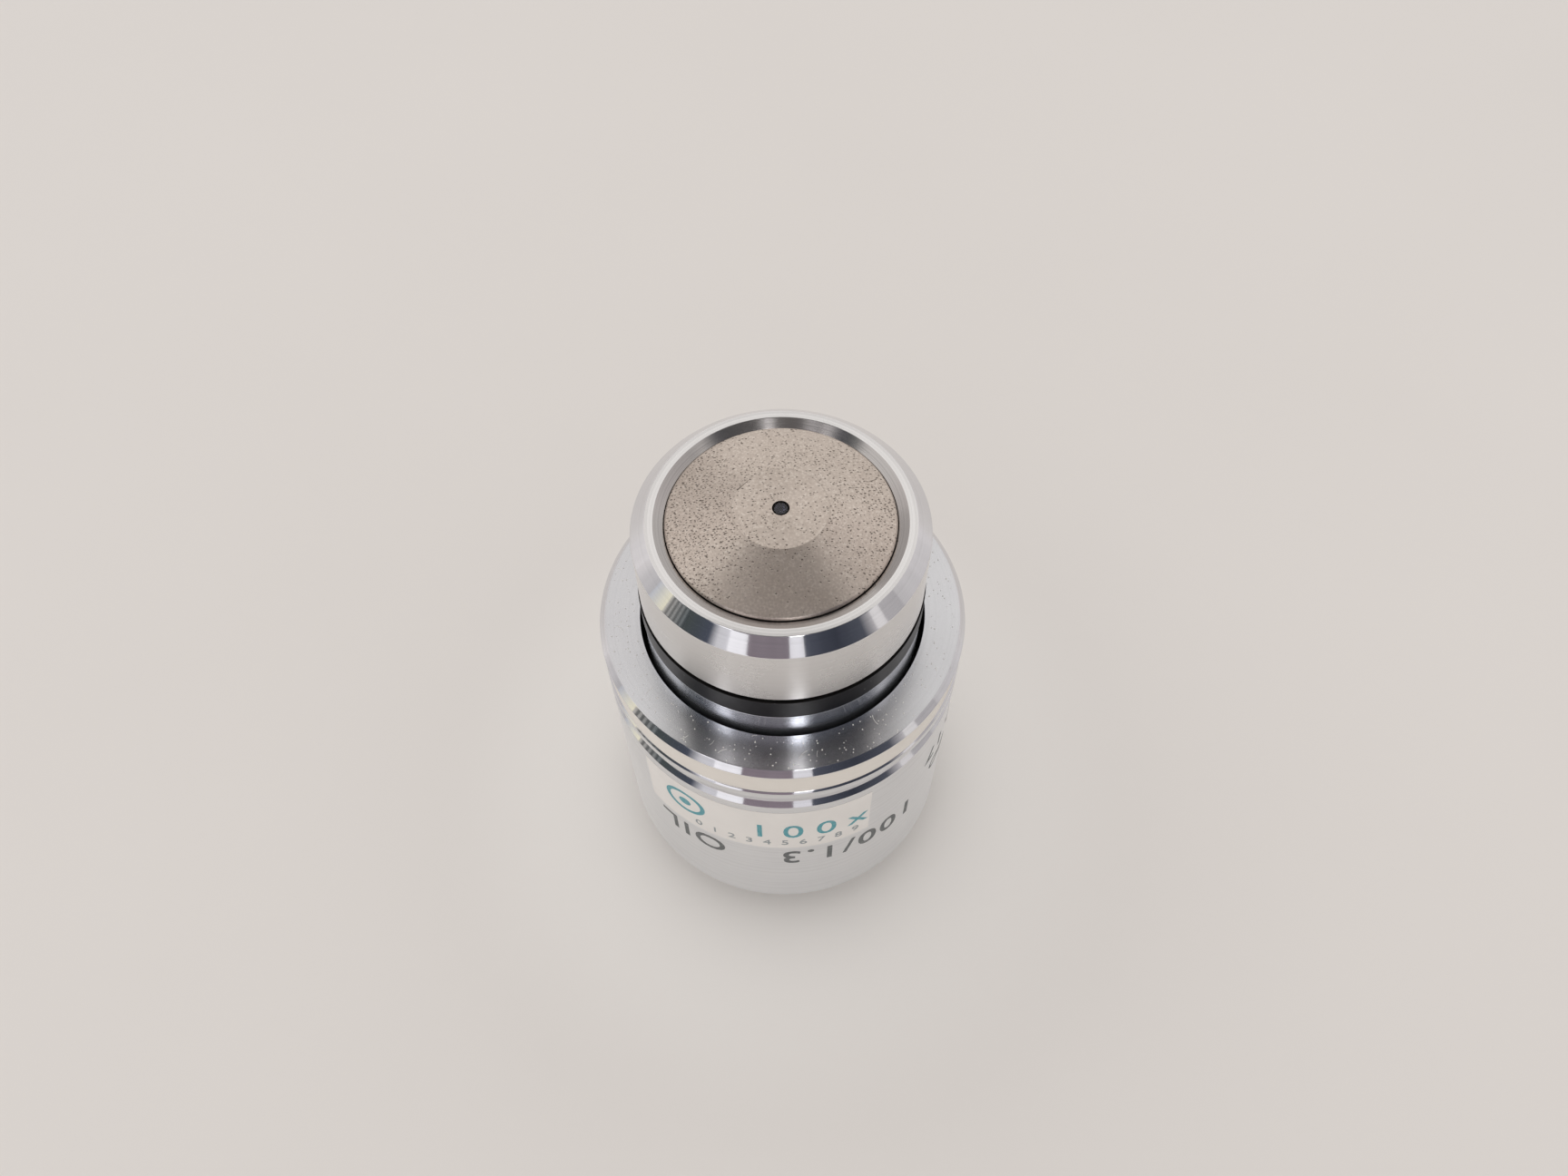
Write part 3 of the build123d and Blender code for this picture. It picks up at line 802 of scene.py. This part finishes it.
def new_tree(name, *labels):
    """A geometry tree with inputs of these names, and the outputs of its group input."""
    tree = bpy.data.node_groups.new(name, "GeometryNodeTree")
    tree.interface.new_socket("Geometry", in_out="OUTPUT", socket_type=KINDS["Geometry"])
    for label in ("Geometry", *labels):
        tree.interface.new_socket(label, in_out="INPUT", socket_type=KINDS.get(label, "NodeSocketFloat"))
    return tree, add(tree, "NodeGroupInput").outputs


def end_tree(tree, geometry, material):
    """Ends a geometry tree in real faces with a material."""
    real = add(tree, "GeometryNodeRealizeInstances", (geometry,))
    dressed = add(tree, "GeometryNodeSetMaterial", {0: real, "Material": material})
    add(tree, "NodeGroupOutput", (dressed,))
    print(tree.name, "has", len(tree.nodes), "nodes")


def grow(name, tree, values, base=None):
    """Runs a geometry tree with these values and gives its result as a plain mesh object."""
    piece = link(name, base or bpy.data.meshes.new(name))
    modifier = piece.modifiers.new("grow", "NODES")
    modifier.node_group = tree
    for item in tree.interface.items_tree:
        if item.in_out == "INPUT" and item.name in values:
            modifier[item.identifier] = values[item.name]
    bake(piece)
    close_up(piece.data)
    return piece


# %% Spring
SPRING_TURNS = 4.5
STEPS_PER_TURN = 96
WIRE_WIDTH, WIRE_HEIGHT = 1.0 * MM, 0.8 * MM


def coil_tree():
    """A flat wire wound into a coil."""
    tree, given = new_tree("flat_wire_coil", "Turns", "Radius", "Rise", "Wire width", "Wire height", "Finish")
    spiral = add(tree, "GeometryNodeCurveSpiral", {
        "Resolution": STEPS_PER_TURN,
        "Rotations": given["Turns"],
        "Start Radius": given["Radius"],
        "End Radius": given["Radius"],
        "Height": given["Rise"],
    })
    upright = add(tree, "GeometryNodeSetCurveNormal", (spiral,), mode="Z_UP")
    wire = add(tree, "GeometryNodeCurvePrimitiveQuadrilateral",
               {"Width": given["Wire width"], "Height": given["Wire height"]})
    swept = add(tree, "GeometryNodeCurveToMesh", {0: upright, "Profile Curve": wire, "Fill Caps": True})
    end_tree(tree, swept, given["Finish"])
    return tree


spring_low, spring_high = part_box("retraction_spring")
spring_length = spring_high.z - spring_low.z
spring = grow("retraction_coil", coil_tree(), {
    "Turns": SPRING_TURNS,
    "Radius": spring_high.x - WIRE_WIDTH / 2,
    "Rise": spring_length - WIRE_HEIGHT,
    "Wire width": WIRE_WIDTH,
    "Wire height": WIRE_HEIGHT,
    "Finish": spring_steel,
})
for vertex in spring.data.vertices:
    vertex.co.z += spring_low.z + WIRE_HEIGHT / 2
settle(spring, "barrel", "spring_steel", "retraction_spring")
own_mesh(spring)

# %% [markdown]
# ## Marks on the barrel
# An objective is engraved with its magnification, aperture and cover-glass thickness, and the grooves
# are filled with dark paint. It hangs tip down in use, so the engraving is upside down here. A white
# film label goes round part of the barrel and reads upright. The characters are flat curves at first.
# A geometry tree fills them, divides the faces so that they can bend, and wraps them round the barrel.

# %% Wrapping flat shapes round the barrel
INK = 0.012  # how far paint and ink stand proud, in millimetres
DIVISIONS = 2  # how often a flat face is divided before it bends
PLACING = ("Azimuth", "Height", "Radius", "Thickness", "Finish")


def wrap(tree, flat, given):
    """Bends a flat mesh round the barrel at an azimuth and a height, and gives it its thickness."""
    fine = add(tree, "GeometryNodeSubdivideMesh", {0: flat, "Level": DIVISIONS})
    x, y, _ = add(tree, SPLIT, (add(tree, "GeometryNodeInputPosition"),)).outputs
    turn = add(tree, MATH, (x, given["Radius"]), operation="DIVIDE")
    angle = add(tree, MATH, (turn, given["Azimuth"]), operation="ADD")
    side = add(tree, MATH, (angle,), operation="SINE")
    front = add(tree, MATH, (angle,), operation="COSINE")
    inwards = add(tree, MATH, (given["Radius"], -1.0), operation="MULTIPLY")
    bent = add(tree, "ShaderNodeCombineXYZ", (
        add(tree, MATH, (side, given["Radius"]), operation="MULTIPLY"),
        add(tree, MATH, (front, inwards), operation="MULTIPLY"),
        add(tree, MATH, (y, given["Height"]), operation="ADD"),
    ))
    wrapped = add(tree, "GeometryNodeSetPosition", {0: fine, "Position": bent})
    raised = add(tree, "GeometryNodeExtrudeMesh",
                 {0: wrapped, "Offset Scale": given["Thickness"], "Individual": False})
    floor = add(tree, "GeometryNodeFlipFaces", (wrapped,))
    whole = add(tree, "GeometryNodeJoinGeometry")
    for part in (floor, raised):
        tree.links.new(part.outputs[0], whole.inputs[0])
    end_tree(tree, whole, given["Finish"])


def letters_tree():
    """Words, made bolder by a weight, turned, and wrapped round the barrel."""
    tree, given = new_tree("letters_round_barrel", "Words", "Size", "Spacing", "Weight", "Turned", *PLACING)
    words = add(tree, "GeometryNodeStringToCurves",
                {"String": given["Words"], "Size": given["Size"], "Character Spacing": given["Spacing"]},
                align_x="CENTER", align_y="MIDDLE")
    curves = add(tree, "GeometryNodeRealizeInstances", (words,))
    coarse = add(tree, "GeometryNodeSetSplineResolution", {0: curves, "Resolution": 4})
    chords = add(tree, "GeometryNodeResampleCurve", (coarse,), mode="EVALUATED")
    level = add(tree, "GeometryNodeSetCurveNormal", (chords,), mode="Z_UP")
    normal = add(tree, "GeometryNodeInputNormal")
    outwards = add(tree, VECTOR, {0: normal, "Scale": given["Weight"]}, operation="SCALE")
    bold = add(tree, "GeometryNodeSetPosition", {0: level, "Offset": outwards})
    filled = add(tree, "GeometryNodeFillCurve", (bold,))
    upside = add(tree, "ShaderNodeCombineXYZ", {2: given["Turned"]})
    laid = add(tree, "GeometryNodeTransform", {0: filled, "Rotation": upside})
    wrap(tree, laid, given)
    return tree


letters = letters_tree()

# %% Paint, ink and film
RUB = 1 / 3  # size of a rubbed spot, in millimetres


def ink(tree, place, tone, roughness):
    """Paint or ink, a little uneven where it has rubbed off."""
    rub = add(tree, NOISE, {"Vector": place, "Scale": 1 / RUB, "Detail": 4.0})
    pale = [c * 0.7 + 0.18 for c in linear(tone)[:3]] + [1.0]
    worn = add(tree, RANGE, (rub, 0.45, 0.75, 0.0, 0.8), **SMOOTH)
    return {"Base Color": layered(tree, tone, (worn, pale)), "Roughness": roughness, "IOR": 1.5}


engraving_paint = finish("dark_grey_engraving_paint", ink, "55595A", 0.5)
teal_ink = finish("teal_printing_ink", ink, "3D96A2", 0.45)
grey_ink = finish("grey_printing_ink", ink, "8D9497", 0.45)
film = finish("white_label_film", enamel, "EAE6E2", "C9C6C2", 0.3, 0.15, 0.5)

# %% Engraving
CAP = 0.72  # height of a capital letter, as a share of the font size
CUT_WEIGHT = 0.06  # how much bolder the engraver's tool makes a stroke, in millimetres
CUT_SPACING = 1.15
engraved = [  # words, azimuth in degrees, height and letter height in millimetres
    ("OIL", -33, 11.2, 3.0),
    ("100/1.3", 24, 11.2, 3.0),
    ("0.17", 66, 17.6, 2.4),
    ("∞", 66, 13.8, 3.6),  # the infinity sign: made for parallel light behind the rear lens
]


def put(name, slot, tree, azimuth, height, radius, paint, values):
    """Puts a mark on the barrel and lets it ride on it. values are the tree's own inputs."""
    placing = (radians(azimuth), height * MM, radius * MM, INK * MM, paint)
    settle(grow(name, tree, {**values, **dict(zip(PLACING, placing))}), "barrel", slot)


def write(name, slot, words, azimuth, height, tall, spacing, weight, turned, radius, paint):
    """Puts words on the barrel, with the units of the tables."""
    values = {"Words": words, "Size": tall / CAP * MM, "Spacing": spacing}
    values |= {"Weight": weight * MM, "Turned": turned}
    put(name, slot, letters, azimuth, height, radius, paint, values)


for number, mark in enumerate(engraved, start=1):
    write(f"engraving_{number}", "satin_chrome", *mark, CUT_SPACING, CUT_WEIGHT, pi, barrel_radius,
          engraving_paint)

# %% Label film
FILM = 0.03  # thickness of the film, in millimetres
LABEL_LEFT, LABEL_RIGHT = -50, 28.5  # degrees
LABEL_FOOT, LABEL_TOP = 13.6, 21.9
LABEL_STEPS = 60
PRINT_RADIUS = barrel_radius + FILM
film_section = [(barrel_radius, LABEL_FOOT), (PRINT_RADIUS, LABEL_FOOT),
                (PRINT_RADIUS, LABEL_TOP), (barrel_radius, LABEL_TOP)]
film_points = []
for step in range(LABEL_STEPS + 1):
    angle = radians(LABEL_LEFT + (LABEL_RIGHT - LABEL_LEFT) * step / LABEL_STEPS)
    film_points += [(r * MM * sin(angle), -r * MM * cos(angle), z * MM) for r, z in film_section]
sides = len(film_section)
film_ends = [tuple(range(end, end + sides)) for end in (0, sides * LABEL_STEPS)]
film_mesh = build("label_film", film_points, quads(LABEL_STEPS + 1, sides, False, True) + film_ends, film)
close_up(film_mesh)
settle(link("label_film", film_mesh), "barrel", "white_enamel")

# %% Label print
PRINT_WEIGHT = 0.02  # how much the ink spreads, in millimetres
printed = [  # words, azimuth, height, letter height, spacing, ink
    ("100x", 8, 17.4, 2.9, 1.5, teal_ink),
    ("0 1 2 3 4 5 6 7 8 9", -3, 14.9, 1.1, 1.3, grey_ink),
]
for number, (*mark, paint) in enumerate(printed, start=1):
    write(f"label_print_{number}", "white_enamel", *mark, PRINT_WEIGHT, 0.0, PRINT_RADIUS, paint)

# %% Sign on the label
SIGN_SIZE = 4.2  # millimetres
SIGN_AZIMUTH, SIGN_HEIGHT = -34, 18.4
SIGN_RIMS = (1.0, 0.78, 0.3)  # both edges of the ring, and the dot
RIM_STEPS = 48


def sign_tree():
    """A ring with a dot in it, like a lens seen from the front."""
    tree, given = new_tree("lens_sign", "Size", *PLACING)
    rims = add(tree, "GeometryNodeJoinGeometry")
    for share in SIGN_RIMS:
        reach = add(tree, MATH, (given["Size"], share / 2), operation="MULTIPLY")
        rim = add(tree, "GeometryNodeCurvePrimitiveCircle", {"Resolution": RIM_STEPS, "Radius": reach})
        tree.links.new(rim.outputs[0], rims.inputs[0])
    wrap(tree, add(tree, "GeometryNodeFillCurve", (rims,)), given)
    return tree


put("label_print_3", "white_enamel", sign_tree(), SIGN_AZIMUTH, SIGN_HEIGHT, PRINT_RADIUS, teal_ink,
    {"Size": SIGN_SIZE * MM})

# %% [markdown]
# ## Dust
# The front face of the barrel looks up, so dust settles on it: pale specks up to a tenth of a millimetre
# wide, and a few fibres. Nothing but chance decides where they lie, so a geometry tree scatters them over
# a flat ring with a fixed seed, and each one is a handful of faces.

# %% Dust tree
FIBRE_BEND = radians(50)
DUST_SIZES = (0.4, 1.3)  # smallest and largest, as shares of the ordinary size


def dust_tree():
    """Specks and bent fibres, scattered over faces."""
    tree, given = new_tree("settled_dust", "Specks", "Speck radius", "Fibres", "Fibre radius", "Bend radius",
                           "Seed", "Finish")
    seed = given["Seed"]
    speck = add(tree, "GeometryNodeMeshIcoSphere", {"Radius": given["Speck radius"], "Subdivisions": 1})
    bent = add(tree, "GeometryNodeCurveArc",
               {"Resolution": 7, "Radius": given["Bend radius"], "Sweep Angle": FIBRE_BEND})
    hair = add(tree, "GeometryNodeCurvePrimitiveCircle", {"Resolution": 5, "Radius": given["Fibre radius"]})
    fibre = add(tree, "GeometryNodeCurveToMesh", {0: bent, "Profile Curve": hair, "Fill Caps": True})
    whole = add(tree, "GeometryNodeJoinGeometry")
    for shape, density in ((speck, given["Specks"]), (fibre, given["Fibres"])):
        places = add(tree, "GeometryNodeDistributePointsOnFaces",
                     {0: given["Geometry"], "Density": density, "Seed": seed})
        turn = add(tree, "FunctionNodeRandomValue", {1: (0, 0, tau), "Seed": seed}, data_type="FLOAT_VECTOR")
        size = add(tree, "FunctionNodeRandomValue", {2: DUST_SIZES[0], 3: DUST_SIZES[1], "Seed": seed},
                   data_type="FLOAT")
        laid = add(tree, "GeometryNodeInstanceOnPoints",
                   {"Points": places, "Instance": shape, "Rotation": turn, "Scale": size})
        tree.links.new(laid.outputs[0], whole.inputs[0])
    end_tree(tree, whole, given["Finish"])
    return tree


settled = dust_tree()

# %% Dust on the front face
DUST_SEED = 7
FACE_STEPS = 48
SPECKS, FIBRES = 1.7, 0.08  # on a square millimetre
LIP_MARGIN, RIM_MARGIN = 0.3, 0.1  # the bare strips along the edges of the face, in millimetres
barrel_front = max(corner.y for corner in barrel_section)
face_outer = max(corner.x for corner in barrel_section if corner.y > barrel_front - EDGE)
bed_points = []
for step in range(FACE_STEPS):
    angle = tau * step / FACE_STEPS
    for radius in (lip_radius + LIP_MARGIN, face_outer - RIM_MARGIN):
        bed_points.append((radius * cos(angle) * MM, radius * sin(angle) * MM, barrel_front * MM))
dust = grow("settled_dust", settled, {
    "Specks": SPECKS / MM**2,
    "Speck radius": 0.06 * MM,
    "Fibres": FIBRES / MM**2,
    "Fibre radius": 0.02 * MM,
    "Bend radius": 0.9 * MM,
    "Seed": DUST_SEED,
    "Finish": finish("pale_lint", ink, "E4E1DC", 0.9),
}, build("dust_bed", bed_points, quads(FACE_STEPS, 2, True, False)))
settle(dust, "barrel", "satin_chrome")

# %% [markdown]
# ## Inner pieces
# The cells, spacers and glasses inside are right as they come from the CAD, so they keep their solids and
# get a finish. A finish goes into the slot of the CAD object, and the mesh isn't touched.

# %% Finishes of the CAD nodes
by_slot = {"black_brass": black_brass, "lens_glass": glass, "spring_steel": spring_steel}
dressed = 0
for subpart in frame["record"]["subparts"]:
    solid = nodes[subpart["node"]]
    if subpart["material_slot"] in by_slot and not solid.hide_render:
        solid.material_slots[0].material = by_slot[subpart["material_slot"]]
        dressed += 1
print("CAD nodes with a finish:", dressed)

# %% [markdown]
# ## Floor and light
# The objective stands on a plain pale table. Bright metal shows what is round it, so the studio is part
# of its look: a soft white room, and on the camera's side grey cards and bright gaps, which give the
# mirror-cut chamfers their dark and bright stretches. Each card shows its own tone, takes no light from
# the table, and is seen in reflections only.

# %% Floor
FLOOR_HALF = 3.0  # metres from the middle to an edge
WIPES = 0.014  # wiping marks in a millimetre
PAINTED_FOOT_LIGHT = (18, 40)  # painted light: the table is paler from the foot of the part to this far from the axis
PAINTED_FAR_LIGHT = (100, 1200)  # and painted light makes it paler again towards its edges


def table_top(tree, place):
    """A pale table top with faint wiping marks, and light painted onto it near the foot of the part and towards
    its edges.
    """
    reach = add(tree, VECTOR, (place,), operation="LENGTH")
    wipe = add(tree, NOISE, {"Vector": place, "Scale": WIPES, "Detail": 5.0})
    # painted light: these two pale layers stand for light falling near the part and far out
    near = add(tree, RANGE, (reach, *PAINTED_FOOT_LIGHT, 1.0, 0.0), **SMOOTH)
    far = add(tree, RANGE, (reach, *PAINTED_FAR_LIGHT, 0.0, 1.0), **SMOOTH)
    tone = layered(tree, "E6E1DD", (wipe, "E1DCD8"), (near, "F1EDE9"), (far, "EFEBE8"))
    return {"Base Color": tone, "Roughness": 0.55}


table_corners = [(x * FLOOR_HALF, y * FLOOR_HALF, cad_box[0].z)
                 for x, y in ((-1, -1), (1, -1), (1, 1), (-1, 1))]
table = build("table_top", table_corners, [(0, 1, 2, 3)], finish("pale_table_top", table_top))
link("table_top", table)
print("table at z in mm:", round(cad_box[0].z / MM, 2))

# %% Finish of a card
WEAVE = 0.02  # uneven spots in a millimetre
SLATS = {"left_blind": 5}  # dark slats across a card


def card_light(tree, place, tones, strength, slats):
    """A card that shows its own tone, which changes from one edge to the other."""
    weave = add(tree, NOISE, {"Vector": place, "Scale": WEAVE})
    fade = add(tree, "ShaderNodeAttribute", attribute_name="fade").outputs["Fac"]
    tone = layered(tree, tones[0], (fade, tones[1]))
    if slats:
        count = add(tree, MATH, (fade, slats), operation="MULTIPLY")
        part = add(tree, MATH, (count,), operation="FRACT")
        slat = add(tree, RANGE, (part, 0.4, 0.6, 0.0, 0.7), **SMOOTH)
        tone = layered(tree, tone, (slat, "2E3234"))
    level = add(tree, RANGE, (weave, 0.3, 0.7, 0.95 * strength, 1.05 * strength), **SMOOTH)
    return {"Color": tone, "Strength": level}


print("cards with slats:", *SLATS)

# %% Shape of a card
CARD_DISTANCE = 0.45  # metres from the part
CARD_GRID = 16
LOW_ROW, HIGH_ROW = 27, 63  # degrees of elevation: edges are upright below the one, and lean above it
ACROSS, UP = 0, 1  # ways in which the tone of a card changes


def card(name, low_edges, high_edges, elevations, tones, way=ACROSS, strength=1.0):
    """Part of a sphere round the objective, with azimuth 0 towards the camera."""
    points, fades = [], []
    for row in range(CARD_GRID + 1):
        elevation = elevations[0] + (elevations[1] - elevations[0]) * row / CARD_GRID
        lean = max(elevation - LOW_ROW, 0) / (HIGH_ROW - LOW_ROW)
        left, right = [low + (high - low) * lean for low, high in zip(low_edges, high_edges)]
        for column in range(CARD_GRID + 1):
            up, side = radians(elevation), radians(left + (right - left) * column / CARD_GRID)
            points.append((CARD_DISTANCE * cos(up) * sin(side), -CARD_DISTANCE * cos(up) * cos(side),
                           CARD_DISTANCE * sin(up) + tip_height / 2 * MM))
            fades.append((column, row)[way] / CARD_GRID)
    light = finish(name, card_light, tones, strength, SLATS.get(name, 0), kind="ShaderNodeEmission")
    mesh = build(name, points, quads(CARD_GRID + 1, CARD_GRID + 1, False, False), light)
    mesh.attributes.new("fade", "FLOAT", "POINT").data.foreach_set("value", fades)
    piece = link(name, mesh)
    piece.visible_camera = False
    piece.visible_diffuse = False
    piece.visible_shadow = False


# %% Cards
cards = [  # name, azimuth of both edges at the low and the high row, elevations, tones, way, strength
    ("left_wall", (-126, -103), (-140, -122), (0, 40), ("E8E3E1", "ECE7E5")),
    ("left_pier", (-103, -88), (-122, -110), (0, 40), ("E6E1DF", "C2BFBF")),
    ("left_window", (-88, -77), (-110, -100), (0, 40), ("CACCD2", "FFF8DC")),
    ("left_blind", (-77, -62), (-100, -92), (0, 40), ("BEBAB4", "6A7274")),
    ("left_card", (-62, -46), (-92, -66), (0, 70), ("4B5150", "4A4F5C")),
    ("left_fade", (-46, -40), (-66, -62), (0, 70), ("4A4F5C", "DEDCDE")),
    ("left_shade", (-40, -33), (-62, -58), (0, 70), ("DEDCDE", "DCDADE")),
    ("left_light", (-33, -20), (-58, -47), (0, 50), ("FFFDFF", "FFFDFF"), ACROSS, 1.1),
    ("left_lamp", (-33, -20), (-58, -47), (50, 70), ("FFFDFF", "FFFDFF"), ACROSS, 2.2),
    ("middle_card", (-20, 4), (-47, 6.5), (0, 70), ("95858D", "7C7A7E"), UP),
    ("light_slit", (4, 13), (6.5, 18.5), (0, 40), ("D9D6DA", "F4F2F4"), UP, 1.1),
    ("slit_lamp", (4, 13), (6.5, 18.5), (40, 70), ("FFFEFF", "FFFEFF"), UP, 3.8),
    ("right_card", (13, 33), (18.5, 50), (0, 70), ("51545F", "3B3E48")),
    ("right_turn", (33, 51), (50, 80), (0, 70), ("3B3E48", "52555E")),
    ("right_fade", (51, 59), (80, 83), (0, 70), ("52555E", "C8C4C4")),
    ("right_light", (59, 66), (83, 91), (0, 70), ("E6E2E0", "F4F0EE"), UP),
    ("right_panel", (66, 79), (91, 100), (0, 60), ("BEBABA", "BEBABA")),
    ("right_wall", (79, 126), (100, 140), (0, 60), ("CECAC9", "E8E3E2")),
    ("back_left_low", (-160, -126), (-170, -140), (12, 40), ("C4C0BE", "CCC8C6"), UP),
    ("back_left", (-160, -120), (-160, -120), (40, 62), ("EEEAE8", "EEEAE8"), UP),
    ("back_right", (120, 160), (120, 160), (42, 58), ("FFFDFB", "FFFDFB"), UP),
    ("crown_left", (-180, -54), (-180, -54), (70, 76), ("5A5755", "54514F"), UP),
    ("crown_gleam", (-54, -36), (-54, -36), (70, 76), ("FFFDFF", "FFFDFF"), UP, 1.6),
    ("crown_middle", (-36, 10), (-36, 10), (70, 76), ("7A7775", "6E6B69"), UP),
    ("crown_slit", (10, 22), (10, 22), (70, 76), ("FFFEFF", "FFFEFF"), UP, 2.0),
    ("crown_right", (22, 180), (22, 180), (70, 76), ("7A7775", "6E6B69"), UP),
    ("overhead", (-180, 180), (-180, 180), (76, 90), ("6E6B69", "625F5D"), UP),
]
for each in cards:
    card(*each)
print("cards:", len(cards))

# %% Room light
LEFT_LEVEL, RIGHT_LEVEL = 1.05, 0.77  # the windows are on the left, so the room is dimmer on the right
world = bpy.data.worlds.new("white_room")
world.use_nodes = True
bpy.context.scene.world = world
room = world.node_tree
room.nodes.clear()
looking = add(room, "ShaderNodeTexCoord").outputs["Generated"]
sideways = add(room, SPLIT, (looking,)).outputs["X"]
bright = add(room, RANGE, (sideways, -1.0, 1.0, LEFT_LEVEL, RIGHT_LEVEL), **SMOOTH)
backdrop = add(room, "ShaderNodeBackground", {"Color": linear("FCFAF8"), "Strength": bright})
add(room, "ShaderNodeOutputWorld", {"Surface": backdrop})
bpy.context.scene.view_settings.view_transform = "Standard"
print("room light:", LEFT_LEVEL, "on the left,", RIGHT_LEVEL, "on the right")

# %% [markdown]
# ## Camera
# The picture was taken from above and in front, close to the part, with a wide lens and a slight roll.

# %% Camera
CAMERA_PLACE = Vector((0.16, -57.39, 125.1)) * MM
CAMERA_TARGET = Vector((0.17, 0.0, 32.95)) * MM
CAMERA_ROLL = radians(-0.72)
SENSOR_WIDTH, FOCAL_LENGTH = 36.0, 29.17  # millimetres
camera_data = bpy.data.cameras.new("camera")
camera_data.sensor_width = SENSOR_WIDTH
camera_data.lens = FOCAL_LENGTH
camera_data.clip_start = 0.005
camera_data.clip_end = 20.0
camera = link("camera", camera_data)
camera.location = CAMERA_PLACE
camera.rotation_mode = "QUATERNION"
aim = (CAMERA_TARGET - CAMERA_PLACE).to_track_quat("-Z", "Y")
camera.rotation_quaternion = aim @ Quaternion((0, 0, 1), CAMERA_ROLL)
bpy.context.scene.camera = camera
print("camera distance in mm:", round((CAMERA_TARGET - CAMERA_PLACE).length / MM, 1))
